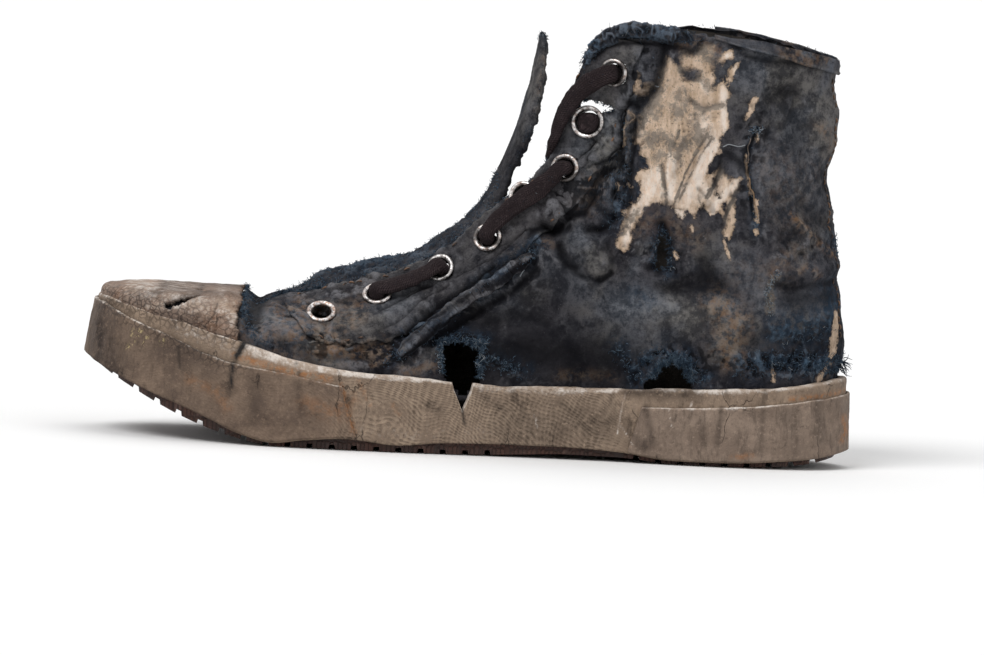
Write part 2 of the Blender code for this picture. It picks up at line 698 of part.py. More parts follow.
def tongue_rows():
    """Five points across each row of the tongue: lap, edge, middle, edge, lap, outer side first."""
    rows = []
    for rib, stand in TONGUE_IN_THROAT:
        lap, edge = (
            over_skin(np.array(rib), np.array(v), np.array(-UPPER_THICK - TONGUE_CLEAR))
            for v in (v_from_edge(rib, TONGUE_LAP), 1.0)
        )
        climb = skin(np.array(rib + 0.2), np.array(1.0)) - skin(np.array(rib - 0.2), np.array(1.0))
        climb /= math.hypot(climb[0], climb[2])
        middle = (edge[0] - climb[2] * stand, THROAT_SHIFT_Y, edge[2] + climb[0] * stand)
        across = [(x, 2 * THROAT_SHIFT_Y - y, z) for x, y, z in (edge, lap)]
        rows.append([lap, edge, middle, *across])
    return [*free_rows(TONGUE_BASE), *rows, *free_rows(TONGUE_FREE)]


def free_rows(table):
    at = columns(table, TONGUE_COLUMNS)
    slope = np.stack([np.gradient(at["x"]), np.gradient(at["z"])], -1)
    slope /= np.linalg.norm(slope, axis=1, keepdims=True)
    rows = []
    for i, (ahead_x, ahead_z) in enumerate(slope):
        rows.append([])
        for q, share in ((-1, 1), (-0.8, 0.5), (0, 0), (0.8, 0.5), (1, 1)):
            fall = share * at["fall"][i]
            y = at["shift"][i] + q * at["half"][i]
            rows[-1].append((at["x"][i] + ahead_z * fall, y, at["z"][i] - ahead_x * fall))
    return rows


def make_tongue(parts):
    """The tongue: under the vamp, across the throat, then standing free, forward of the ankle."""
    rows = np.array(tongue_rows(), float)
    along = np.linspace(0, len(rows) - 1, TONGUE_ROWS)
    across = np.linspace(-1, 1, TONGUE_ACROSS + 1)
    grid = np.empty((len(along), len(across), 3))
    for k in range(3):
        lines = np.stack([smooth(range(len(rows)), rows[:, q, k], along) for q in range(5)], -1)
        grid[..., k] = [smooth((-1, -0.8, 0, 0.8, 1), line, across) for line in lines]
    tongue = add_mesh("tongue", grid.reshape(-1, 3), grid_faces(*grid.shape[:2]), "tongue", parts)
    thicken(tongue, TONGUE_THICK)


def make_facing_roll(parts):
    """The torn lower edge of the outer facing, rolled up into a cord of cloth."""
    spots = [find_on_skin(x, z) for x, z in FACING_ROLL]
    spread = np.linspace(0, len(spots) - 1, 10)
    us = np.interp(spread, range(len(spots)), [s[0] for s in spots])
    vs = np.interp(spread, range(len(spots)), [s[1] for s in spots])
    add_cord("facing_roll", over_skin(us, vs, np.full(len(us), ROLL_R + GAP + 0.2)), "facing_roll", parts, ROLL_R, 1.0)


def add_cord(name, path, finish, parts, half_thick, flatten, wide=None):
    """A cord through these points, with an oval section whose long side follows wide."""
    path = np.asarray(path, float)
    ahead = np.gradient(path, axis=0)
    ahead /= np.linalg.norm(ahead, axis=1, keepdims=True)
    wide = np.tile([0.0, 1.0, 0.0], (len(path), 1)) if wide is None else np.asarray(wide, float)
    side = wide - (wide * ahead).sum(1, keepdims=True) * ahead
    side /= np.linalg.norm(side, axis=1, keepdims=True)
    face = np.cross(ahead, side)
    angles = np.arange(LACE_SIDES) * 2 * math.pi / LACE_SIDES
    flatten = np.broadcast_to(flatten, len(path))
    sections = [
        [
            path[i] + half_thick * (math.cos(a) * flatten[i] * side[i] + math.sin(a) * face[i])
            for a in angles
        ]
        for i in range(len(path))
    ]
    add_loft(name, sections, finish, parts)


def smooth_path(points, count):
    points = np.asarray(points, float)
    steps = np.linspace(0, len(points) - 1, count)
    return np.stack([smooth(range(len(points)), points[:, k], steps) for k in range(3)], -1)


def make_lace_run(name, first, last, rise, parts, over=None):
    """A lace out of one eyelet and into another, along the facing or over the eyelet between."""
    reach = np.linspace(0, 1, 7)
    middle = [(a + b) / 2 for a, b in zip(first, last, strict=True)]
    if over is not None:
        middle = [a + LACE_OVER * (b - a) for a, b in zip(middle, over, strict=True)]
    bow = 4 * reach * (1 - reach)
    us, vs = (a + (b - a) * reach + (m - (a + b) / 2) * bow for a, b, m in zip(first, last, middle, strict=True))
    lift = LACE_LIFT + rise * np.sin(math.pi * reach) ** 0.6
    ends = [over_skin(np.array(u), np.array(v), np.array(-LACE_PLUNGE)) for u, v in (first, last)]
    path = smooth_path([ends[0], *over_skin(us, vs, lift), ends[1]], LACE_STEPS)
    wide = np.cross(np.gradient(path, axis=0), skin_normal(*(np.full(LACE_STEPS, m) for m in middle)))
    share = np.linspace(0, 1, LACE_STEPS)
    flatten = np.interp(share, (0, 0.16, 0.3, 0.7, 0.84, 1), (1.2, 1.3, LACE_FLATTEN, LACE_FLATTEN, 1.3, 1.2))
    add_cord(name, path, "lace", parts, LACE_HALF_THICK, flatten, wide)


def make_lace_top(parts):
    """The top lace, wrapped round the flap's front edge with its flat side to the cloth."""
    at = columns(LACE_TOP, LACE_TOP_COLUMNS)
    path = smooth_path(np.stack([at["x"], at["y"], at["z"]], -1), LACE_TOP_STEPS)
    face = smooth_path(np.stack([at["face_x"], at["face_y"], 0 * at["x"]], -1), LACE_TOP_STEPS)
    share = np.linspace(0, 1, LACE_TOP_STEPS)
    flatten = np.interp(share, (0, 0.1, 0.2, 0.8, 0.9, 1), (1.2, 1.3, LACE_FLATTEN, LACE_FLATTEN, 1.3, 1.2))
    add_cord("lace_top", path, "lace", parts, LACE_HALF_THICK, flatten, np.cross(np.gradient(path, axis=0), face))


def main():
    clear_scene()
    parts = collection("worn_sneaker")
    cutters = collection("cutters")
    cutters.hide_render = True

    outer_places = [find_on_skin(x, z) for x, z in EYELET_PLACES]
    inner_places = to_inner_side(outer_places)
    outer_frames = eyelet_frames_of(outer_places)
    inner_frames = eyelet_frames_of(inner_places)

    make_outsole(parts, cutters)
    make_sidewall(parts, cutters)
    toe_ends = np.array(TOE_BUMPER_END)
    heel_ends = np.array(HEEL_STRIP_END)
    make_strip("toe_bumper", -toe_ends, toe_ends, BUMPER_TOP, parts)
    make_strip("heel_strip", heel_ends, ROWS - heel_ends, HEEL_STRIP_TOP, parts)
    make_insole(parts, cutters)
    make_upper(parts, cutters, outer_frames + inner_frames)
    make_toe_cap(parts, cutters)
    facing = eyestay_grid()
    outer_stay = make_eyestay("eyestay_outer", facing, parts, cutters, outer_frames)
    cut(outer_stay, side_prism("eyestay_tear_cutter", EYELET_TEAR, -90, -12, cutters))
    make_eyestay("eyestay_inner", to_inner_side(facing)[:, ::-1], parts, cutters, inner_frames)
    make_facing_roll(parts)
    make_tongue(parts)
    make_eyelets("outer", outer_frames, parts)
    make_eyelets("inner", inner_frames, parts)
    make_lace_run("lace_low", outer_places[1], outer_places[2], 0.3, parts)
    make_lace_run("lace_mid", outer_places[3], outer_places[5], 0.4, parts, over=outer_places[4])
    make_lace_top(parts)


main()
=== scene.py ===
"""Studio scene of a worn-out high-top sneaker, left foot, standing empty on its sole.

Sizes and tables are in millimetres, in the part's own frame: the toe towards -X, the outer side
towards -Y, the floor at z = 0. Cloth, rubber and threads are built on the same surface as the
part's upper, skin(), and its marks and creases are placed as seen from the side (x, z).
"""

import math

import bmesh
import bpy
import numpy as np
from mathutils import Matrix, Vector


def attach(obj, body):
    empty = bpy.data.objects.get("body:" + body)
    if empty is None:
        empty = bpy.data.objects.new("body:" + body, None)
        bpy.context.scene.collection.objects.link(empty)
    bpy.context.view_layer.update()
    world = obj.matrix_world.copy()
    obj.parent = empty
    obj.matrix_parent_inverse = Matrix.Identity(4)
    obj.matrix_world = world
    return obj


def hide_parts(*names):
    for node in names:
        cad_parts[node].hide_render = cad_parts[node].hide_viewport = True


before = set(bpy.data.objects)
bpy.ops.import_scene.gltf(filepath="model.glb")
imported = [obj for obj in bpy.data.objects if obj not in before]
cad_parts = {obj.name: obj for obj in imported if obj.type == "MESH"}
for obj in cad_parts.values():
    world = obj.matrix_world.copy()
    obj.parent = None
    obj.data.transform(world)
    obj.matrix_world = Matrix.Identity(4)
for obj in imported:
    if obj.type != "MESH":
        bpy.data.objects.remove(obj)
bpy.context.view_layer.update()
MM = 0.001

# ---------------------------------------------------------------- sizes shared with the part

GAP = 0.3
CURVED_GAP = 0.5
SIDEWALL_THICK = 3.0
STRIP_THICK = 1.2
UPPER_THICK = 2.2
TOE_CAP_THICK = 1.7
EYESTAY_THICK = 1.1
INSOLE_THICK = 4.0
UPPER_INSET = SIDEWALL_THICK + CURVED_GAP
THROAT_SHIFT_Y = 1.0

SOLE_COLUMNS = ("x", "tread", "low", "high", "deck", "lean")
SOLE = (
    (-151, 30, 31.5, 53, 38.5, 3.6),
    (-144, 25.6, 27.2, 52.6, 34.8, 3),
    (-134, 20.6, 22.6, 50.6, 30.2, 2),
    (-122, 14.6, 17.6, 48.2, 25, 1.2),
    (-110, 9.2, 13.4, 45.4, 20.4, 0.8),
    (-98, 4.9, 8.6, 42.4, 16.9, 0.5),
    (-86, 1.8, 3.8, 39.2, 14.4, 0.3),
    (-74, 0, 1.4, 35.8, 12.8, 0.2),
    (-62, 0, 3, 32.8, 12, 0),
    (-45, 0, 4.4, 30.8, 12, 0),
    (-26, 0, 2.8, 29.8, 12.2, 0),
    (-6, 0, 4.5, 28.2, 12.6, 0),
    (14, 0.6, 4.8, 27.4, 13.2, 0),
    (38, 1.8, 4.8, 27.9, 13.8, 0),
    (60, 1.6, 3.8, 28.5, 14.2, 0),
    (82, 0, 1.4, 29.3, 14.5, 0),
    (104, 0, 1.6, 30.3, 14.8, 0),
    (122, 0.6, 2.8, 31.6, 15.2, 0.2),
    (137, 2.4, 4.2, 33.4, 15.8, 0.3),
    (151, 5.6, 7.4, 35.8, 16.6, 0.4),
)
RIB_COLUMNS = ("x", "outer", "inner", "end_x", "end_y", "end_z", "rise", "bulge", "shoulder", "drop")
RIBS = (
    (-148.5, 6, 6, -81, 0.5, 52.8, 1.8, 0.2, 44, 3.4),
    (-142.6, -17, 29, -80.5, 5, 52.8, 2.6, 0.2, 42, 3.4),
    (-127, -34.6, 43.6, -79, 9.5, 53.4, 5, 0.3, 34, 3),
    (-104, -45.6, 51, -73, 13, 56, 9, 0.4, 22, 0),
    (-76, -51.6, 53, -62, 16, 60, 12, 0.4, 13, -7),
    (-46, -53, 51, -46, 17.5, 64.6, 15, 0.6, 11, -9),
    (-16, -49.4, 44.8, -26, 18.5, 71, 21, 1, 10, -13),
    (10, -44.6, 38.4, -8, 20, 82, 28, 1.2, 9, -20),
    (32, -41, 35, 6.5, 21.5, 95.5, 35, 1.4, 9, -27),
    (50, -38.8, 34, 24, 23, 111, 41, 1.6, 9, -34),
    (66, -37.7, 34.2, 32, 24.5, 131, 46, 2, 8, -40),
    (83, -37.3, 35.2, 44, 28, 162, 46, 2.6, 6, -46),
    (100, -36.4, 35.6, 64, 35.5, 169.6, 44, 3, 2, -50),
    (118, -33.6, 33.6, 92, 36.5, 167.2, 40, 3.4, -1, -52),
    (134, -26.6, 26.8, 118.5, 28.5, 164, 34, 4.4, -4, -51),
    (144.8, -14.6, 14.8, 134.6, 15.5, 160.2, 27, 6.6, -8, -49),
    (148.5, 0, 0, 138.4, 0, 158.4, 24, 8, -10, -48),
)
HEEL_RIB = len(RIBS) - 1
ROWS = 2 * HEEL_RIB
FLOP_COLUMNS = ("rib", "back", "out", "down")
INNER_FLOP = (
    (8, 4, 2, 0),
    (9, 13, 7, 0.5),
    (10, 23, 13, 1.5),
    (11, 20, 15, 3),
    (12, 10, 8, 1.5),
    (13, 3, 3, 0),
)
QUARTER_HOLE = ((-10, 43), (3.6, 42), (4.4, 33), (3.4, 26), (-5.6, 26), (-8.8, 34))
NOTCH = ((-6.2, 32), (-4.6, 25.4), (-0.9, 17.2), (2.2, 25), (3.8, 32))
HEEL_HOLE = ((69.6, 29), (74.4, 36.6), (79.5, 40.4), (84.8, 37.2), (87, 29), (80, 27.4))
ANKLE_SLIT = ((72.8, 90.5), (75.4, 84), (76.2, 76.6), (71.6, 76), (70.6, 82))
EYELET_TEAR = (
    (38.4, 136.6), (39.1, 138.9), (43.6, 139.3), (48.1, 138.1), (53, 136.6), (48.2, 135.2), (44.9, 134.4),
    (40, 134.6),
)
TOE_SLIT = ((-119, 50.6), (-112, 53.6), (-104.5, 54.6), (-109, 51.6), (-116, 49.4))
EYELET_PLACES = (
    (-57.5, 50.4),
    (-36.2, 58.2),
    (-12, 70),
    (5.8, 83.2),
    (18.6, 100.4),
    (34.6, 112.4),
    (42.2, 130.8),
    (51.4, 150.6),
)
EYESTAY_INSET = 1.2
EYESTAY_COLUMNS = ("front_x", "front_z", "back_x", "back_z")
EYESTAY = (
    (-72, 54.6, -64, 43.5),
    (-60.5, 59, -52, 40.5),
    (-46, 63.2, -38, 41.5),
    (-32, 67.4, -24, 46),
    (-18, 73.4, -8, 55.6),
    (-6, 82.4, 5, 66),
    (4, 92.4, 17, 77),
    (12, 101.6, 30, 90),
    (21, 110.6, 42, 103),
    (26.4, 122, 51, 117),
    (30.6, 134, 56, 134),
    (36, 147, 58, 148),
    (42, 158, 62, 162),
)
TOE_CAP_REAR_X = -89.0
TOE_CAP_RIBS = 4.0
TOE_BUMPER_END = (4.85, 5.15)
HEEL_STRIP_END = (10.15, 9.85)
BUMPER_TOP = ((-151, 51.6), (-145, 50.4), (-134, 46.4), (-116, 40.2), (-92, 31.6), (-69, 28.4), (-50, 25))
HEEL_STRIP_TOP = ((64, 21.8), (90, 22.4), (115, 24.4), (130, 26.4), (151, 29.8))
TONGUE_COLUMNS = ("x", "z", "half", "fall", "shift")
TONGUE_BASE = (
    (-90, 49.8, 15, 2.6, 2),
    (-81, 49.6, 17, 3.6, 1.5),
)
TONGUE_IN_THROAT = ((3.6, 1.8), (4.3, 4.6), (5.2, 5.2), (6.1, 5), (7, 5), (7.9, 5.6))
TONGUE_FREE = (
    (8.4, 111, 17, 3.4, 0.5),
    (13.4, 125, 20.5, 4.2, 0),
    (18.2, 143, 19.5, 4, -1),
    (21.4, 163.6, 9, 2, -3),
)
TONGUE_LAP = 4.5
TONGUE_CLEAR = 1.1
FACING_ROLL = ((-27, 37.4), (-18, 44.6), (-9, 52.2), (0, 59.6), (9, 66), (18, 73.6), (23, 78))
ROLL_R = 1.9
LACE_TOP_COLUMNS = ("x", "y", "z", "face_x", "face_y")
LACE_TOP = (
    (54, -24.5, 150.4, 0, -1),
    (51.4, -31.5, 150.6, 0, -1),
    (49.4, -36.2, 150.3, -0.4, -0.9),
    (45.2, -36.6, 148.7, -0.4, -0.9),
    (40.4, -34.4, 145.2, -0.4, -0.9),
    (35.4, -31.6, 139.6, -0.5, -0.8),
    (31.4, -29, 132.8, -0.7, -0.7),
    (27.6, -25.8, 125.6, -0.9, -0.3),
    (25, -21.6, 118.4, -1, 0.2),
    (26.4, -17.2, 113.6, -0.4, 0.9),
    (32.8, -17.4, 114.8, 0.3, 1),
    (38.2, -18.8, 120.6, 0.3, 1),
    (42.2, -20.6, 127.2, 0.3, 1),
    (43, -24.8, 130.6, 0.6, 0.8),
    (42, -28.9, 130.8, 0.6, 0.8),
)
LACE_HALF_THICK = 1.35
LACE_FLATTEN = 2.1
LACE_PLUNGE = 6.0
LACE_OVER = 0.7
EYELET_HOLE_R = 3.7
EYELET_BARREL_R = 4.1
EYELET_RIM_HIGH = 0.75
EYELET_LIFT = CURVED_GAP + EYESTAY_THICK + CURVED_GAP
LACE_LIFT = EYELET_LIFT + EYELET_RIM_HIGH + LACE_HALF_THICK + 0.1

# ---------------------------------------------------------------- creases and marks
# Each row ends with the x, z of every point of its line, as seen from the side.

# Creases of the cloth: height out of the shoe, half width, line

CREASES_OF_BOTH = (
    (-2.6, 3.6, -82, 58, -83, 52, -84, 48),
    (4, 9, 139, 137, 140, 128),
    (1, 1.6, 141, 138, 141, 135),
    (-1.5, 4, 137, 115, 137, 112),
)
OUTER_CREASES = (
    *CREASES_OF_BOTH,
    (-2.6, 1.8, 26, 89.5, 30, 88, 35, 92, 38.6, 94.4, 41.8, 95, 43.5, 98, 45.4, 101.6),
    (-2.4, 2.2, 27, 89, 31, 87.6, 36, 89),
    (1.8, 3, 37, 87, 42, 86, 46, 84),
    (-2.2, 1.4, 33, 82, 34.4, 78, 36.6, 75.2, 40, 72.5, 44, 70.5, 48.5, 69.6, 54, 72.4),
    (1.8, 4.5, 39, 87, 42.4, 83.6, 45.3, 79, 49, 75),
    (-1.7, 1.2, 51.8, 83, 53.6, 79.4, 54.2, 75.6, 53, 72.5, 50, 70),
    (-1.8, 1.1, 45.8, 124.8, 43.6, 120.2, 41.3, 118.6, 39.4, 115.5),
    (-2, 1.1, 54.3, 123, 52.6, 120, 50, 117, 45.7, 115),
    (-2, 1.3, 53, 113.6, 50, 112.5, 48.4, 110),
    (-2.2, 1, 53.4, 105, 53.6, 101.7),
    (1.6, 1.6, 50.6, 123.3, 48.4, 120.8, 45, 117.3),
    (1.2, 1, 55.9, 129.2, 56.4, 126, 55.7, 121.8),
    (1.5, 1, 53.1, 111.5, 52.2, 105.8, 51.5, 101.5),
    (-1.3, 0.8, 56, 122.4, 54.7, 118.2, 51.5, 114.7, 47.5, 112.8),
    (-1.3, 0.8, 52, 129.7, 51.8, 124.7, 48.7, 121.2, 43.9, 117.6, 41.2, 113.3),
    (-1, 0.8, 47.7, 124.5, 44.5, 121.8, 41.8, 117.5),
    (1, 1, 51, 126, 49.8, 119, 46, 115.6),
    (-1.1, 1, -35, 53, -22, 60.3, -8.8, 66.4, 8.3, 75.5, 20, 87),
    (-0.9, 0.8, -32.6, 57, -15.4, 64.7, 1.7, 73.8, 17.3, 85.4),
    (-0.9, 0.9, -34.8, 46, -27, 50.6, -19, 57.8, -8.6, 63.7),
    (-1.8, 1.4, -24, 47.4, -15, 55.3, -5.8, 61.2, 8.5, 72.8),
    (1.5, 0.9, 57.5, 134, 58.5, 124, 57, 112, 56, 104),
    (-1.6, 0.8, 59.6, 133, 60.2, 123, 58.8, 112, 57.4, 106),
    (-1.4, 0.8, 57, 128, 56.8, 118, 55.4, 110),
    (-2.4, 1.6, 52, 95, 53.8, 94.6, 51.6, 91, 48.4, 89.3, 44, 88.7),
    (1.5, 1.2, 47.2, 91.3, 47, 93.7, 49, 95.3, 51.4, 94.5),
    (-1.4, 1.2, 34, 83, 35, 80, 38, 77, 41, 78),
    (-2.4, 2.2, 72, 93, 75, 86, 75, 81, 73, 77, 68, 75),
    (1.7, 2.4, 67, 73, 73, 71, 79, 72, 85, 75),
    (-1.8, 4, 90, 80, 92, 70),
    (-1.6, 4, 72, 67, 80, 66, 91, 71, 98, 70),
    (1.8, 9, 58, 58, 80, 60),
    (-1.6, 1.8, 118, 72, 126, 70, 134, 72, 143, 73),
    (1.3, 3, 120, 76, 132, 77, 142, 79),
    (-2.4, 1.4, -24, 46.5, -10, 57, 6, 67.5, 21, 79),
    (-2.4, 2.2, -14, 44, 0, 54, 15, 63, 25, 72),
    (-2, 1.2, 57.3, 139.2, 54.4, 134, 55, 128.9, 55.3, 123.6, 54, 121),
    (-2.2, 1.6, 70, 165, 69, 153, 67, 145, 63, 141, 60, 137),
    (1.4, 2.6, 73, 158, 72, 148, 69, 140),
    (1.3, 1.3, 56, 112, 57, 104, 56, 97),
    (-1.5, 1, 59, 112, 60, 103, 59, 95),
    (1.1, 1.3, 63, 108, 63, 100),
    (-0.9, 1.1, 81, 141, 87, 139, 92, 141),
    (-0.8, 0.8, 89, 131, 85, 121, 82, 112),
    (0.7, 1, 91, 130, 87, 120, 84, 111),
    (-0.8, 0.7, 82, 110, 79, 105, 77, 100),
    (-0.7, 0.9, 97, 118, 94, 108, 92, 104),
    (-1.6, 3.4, 112, 144, 117, 147, 121, 147),
    (-1.3, 5, 119, 143, 124, 132, 126, 122),
    (1.2, 6, 108, 150, 112, 136),
    (-1.6, 0.9, 108, 132, 105, 125, 105, 115, 107, 108, 108, 96),
    (0.8, 1.2, 124, 98, 131, 91, 139, 84),
    (-1.2, 2.4, 126, 104, 134, 97, 140, 94),
    (-1.5, 1.6, -60, 36, -52, 35, -40, 36),
    (-1.1, 1, -50, 37, -39, 40, -30, 43),
    (1, 3, 10, 44, 26, 47, 40, 44),
    (-1.2, 3, 8, 50, 24, 54, 40, 50),
    (1, 5, 70, 48, 96, 47),
    (-1, 2.6, 108, 48, 120, 50, 134, 49),
)
INNER_CREASES = (
    *CREASES_OF_BOTH,
    (-2.8, 2.4, 30, 72, 42, 84, 58, 92, 70, 93),
    (1.8, 4, 34, 66, 48, 76, 64, 82),
    (-2, 2, 44, 60, 58, 68, 72, 72, 84, 70),
    (-2.2, 2.2, 96, 84, 108, 74, 122, 72, 140, 76),
    (1.6, 5, 100, 92, 118, 88),
    (-2, 2, 60, 138, 64, 122, 62, 106, 56, 98),
    (1.4, 3, 68, 132, 70, 116, 67, 104),
    (-1.6, 3, 96, 140, 106, 128, 110, 112),
    (-1.4, 1.8, -34, 46, -12, 58, 8, 72, 20, 82),
    (-1.3, 1.6, -66, 40, -46, 38, -30, 42),
    (1.2, 6, 20, 48, 50, 46, 80, 50),
    (-1.4, 2.4, 84, 56, 100, 50, 116, 54),
    (-1.6, 1.8, 78, 100, 86, 96, 92, 100, 90, 110),
    (-1.2, 4, 120, 130, 128, 112),
)
# Where the cloth is crumpled: strength, half width, line
OUTER_FOLDS = (
    (1, 7, -24, 42, 0, 58, 24, 74),
    (1, 7, 44, 104, 54, 118, 57, 136, 62, 152),
    (1, 7, 32, 96, 44, 118, 46, 134),
    (0.8, 7, 60, 82, 80, 78),
    (1, 5, 58, 36, 74, 40, 96, 42, 124, 40, 142, 40),
    (0.8, 7, -84, 46, -60, 40, -30, 36),
    (0.45, 8, 68, 98, 82, 100, 96, 104),
    (0.4, 8, 74, 150, 84, 136),
    (0.6, 7, 102, 104, 106, 124, 106, 136),
    (0.2, 10, 112, 146, 122, 134, 126, 118),
    (0.45, 7, 122, 84, 134, 88, 142, 96),
    (0.35, 8, 112, 70, 120, 60, 126, 52),
    (0.7, 5, 64, 160, 76, 164, 92, 164),
    (0.6, 6, -74, 50, -56, 56, -36, 66),
)
INNER_FOLDS = (
    (1, 9, -24, 42, 0, 56, 26, 72, 50, 88),
    (0.9, 8, 50, 96, 60, 112, 62, 138),
    (0.8, 8, 60, 66, 84, 70, 110, 74, 138, 78),
    (0.9, 6, 60, 38, 96, 42, 140, 42),
    (0.6, 9, 96, 140, 106, 126, 110, 108),
    (0.8, 8, -84, 46, -56, 40, -24, 36),
)
# Bare patches, where the black face has flaked off a tan ground: their outlines
OUTER_BARE = (
    (
        (73, 157), (76, 155), (77, 160), (82, 159), (84, 163), (89, 163), (89, 156), (90, 146),
        (93, 150), (96, 145), (94, 140), (97, 132), (93, 128), (93, 122), (90, 119), (89, 112),
        (94, 116), (97, 112), (102, 113), (102, 108), (96, 103), (93, 98), (91, 97), (88, 102),
        (85, 96), (82, 99), (80, 95), (77, 99), (73, 102), (69.6, 100.5), (65.5, 99.7), (64.7, 96.7),
        (62.2, 93), (60.9, 89.3), (61.4, 86.4), (60.4, 83.3), (58.4, 81.4), (56.4, 82.5), (55, 85),
        (57.3, 89.7), (58.2, 94.9), (56.7, 97), (60.4, 100.4), (63.4, 101.4), (63.7, 105.6),
        (64.2, 110), (62.2, 107.8), (60.9, 110.1), (62.2, 113.8), (67.3, 114), (65.6, 118),
        (62.8, 119.8), (63.6, 124), (60, 123.8), (60.6, 128), (61, 131.6), (62.2, 135.6), (65, 139),
        (67, 144), (69.4, 151.5), (71, 158),
    ),
    ((91, 157.5), (92, 160), (96, 162), (96.5, 159.5), (93, 157)),
    ((94, 150), (96, 155), (99, 157.5), (98.5, 154), (95.5, 149)),
    ((60, 151), (59, 147), (57, 144), (60, 142.5), (64, 143), (66, 147), (64, 147), (61.5, 145.5)),
    ((97, 106), (100, 104), (101, 96), (99, 88), (97, 90), (98, 98)),
)
# Bare scratches: half width, line
OUTER_BARE_STROKES = (
    (1.1, 103, 135.5, 104.5, 139, 106, 143),
    (0.6, 108.5, 104, 109.5, 96),
    (0.7, 84, 93, 84.5, 91),
    (0.9, 109, 92.5, 109.6, 91.5),
    (0.5, 97, 88, 98.5, 83, 99.5, 81),
    (0.8, 78, 82, 79, 80),
    (0.5, 104, 121, 105, 112, 106.5, 106),
    (0.5, 107.5, 130.5, 108.5, 127),
    (0.8, 117.4, 74.5, 115.6, 70.5),
    (1.7, 115.6, 67, 116.2, 62.2),
    (1.4, 142.8, 60, 142.2, 52, 141.6, 44),
    (0.9, 140.5, 41, 137.5, 37, 136.5, 33),
    (0.8, 118.5, 39, 119, 34),
    (0.7, 95, 100, 99, 93),
    (1, 54.6, 136.6, 55.2, 132.8, 56.4, 130.5),
    (0.6, 56, 129, 56.3, 126, 55.6, 122.5),
    (0.5, 57.4, 136, 59.9, 133.9, 58, 131.4),
    (0.6, 54.5, 108, 54.7, 105.6),
    (0.5, 58.1, 107.3, 60, 106.8),
)
# Black cloth left inside the patches: outlines
BARE_ISLANDS = (
    ((77, 152), (80, 154.5), (84.5, 153.5), (83, 149), (79, 149.5)),
    ((92.5, 112), (95, 104), (93, 106), (91, 112)),
)
# Grime left on the bare cloth, and where it has rubbed clean: strength, half width, line
OUTER_VEIL = (
    (0.75, 5, 67, 156, 68, 148, 65, 139, 61, 130),
    (0.6, 3, 76, 143, 79, 145, 80, 139),
    (0.6, 2.6, 84, 132, 85, 126),
    (0.7, 4, 78, 160, 84, 162, 88, 158),
    (0.8, 2.2, 76.8, 153.5, 80, 151, 83.7, 150.3),
    (0.75, 1.5, 80, 143, 84, 139, 87, 138.4, 93.2, 140.4),
    (0.55, 5, 60, 135, 70, 136.4, 83, 137),
    (0.62, 5.5, 67, 126, 76, 124, 85, 127),
    (0.5, 4, 68.8, 119, 77.8, 120),
    (0.85, 0.7, 88.6, 128.9, 83.8, 120.5, 80.4, 112.8, 76.6, 100.7),
    (0.7, 0.6, 90.4, 128, 85.8, 119.8, 82.2, 112, 78.2, 101.6),
    (0.8, 0.9, 77.3, 129.8, 75.4, 123),
    (0.95, 1.3, 95.4, 118.5, 92.5, 110.5, 89.6, 104.6),
    (0.7, 1.3, 71.4, 116, 72.9, 107.2, 73.8, 101),
    (0.9, 1.1, 102.3, 108.8, 98.2, 101.1, 95.4, 92),
    (0.6, 2.2, 62, 97, 57.5, 89),
    (0.5, 2.5, 84, 152, 88, 146),
    (0.6, 0.8, 96, 115, 99, 110),
    (0.55, 0.7, 79, 118, 77.6, 112),
    (0.6, 0.8, 86, 104, 88, 100),
    (1, 3.5, 117.7, 76, 114.4, 69, 116.5, 61),
)
OUTER_CLEAN = (
    (0.6, 8, 68, 106, 80, 104, 92, 106),
    (0.5, 6, 86, 134, 90, 126),
    (0.5, 3, 62, 128, 64.5, 134),
    (0.7, 2, 66, 97, 61, 98, 59, 84),
    (1, 2.4, 75, 119, 74.9, 111.8, 75.6, 104),
    (1, 3.4, 91, 124, 87, 116.9, 83.4, 107),
    (0.95, 3, 69.3, 112.5, 67.2, 106, 65, 101),
    (0.9, 2.2, 101, 111, 95.8, 105, 90.9, 98),
    (0.9, 2, 73.5, 98.6, 80.5, 97.2, 82.4, 95.8),
    (0.75, 2, 93.6, 147, 94.6, 135, 95.4, 130),
    (0.5, 3, 85, 149, 88, 144),
    (0.7, 1.6, 97, 156, 98.4, 153),
    (0.7, 1.4, 93, 159, 96, 160.5),
    (0.6, 1.4, 61, 144, 65, 145),
)
INNER_VEIL = (
    (0.8, 3, 99, 104, 106, 110),
    (0.7, 3, 60, 88, 70, 86),
    (0.8, 3, 110, 68, 118, 70),
    (0.7, 7, 60, 132, 70, 128, 84, 132),
    (0.6, 5, 90, 118, 98, 108),
    (0.8, 0.8, 76, 128, 74, 116, 70, 106),
)
INNER_CLEAN = (
    (0.9, 4, 72, 118, 82, 112, 92, 116),
    (0.8, 3, 66, 106, 74, 100),
)
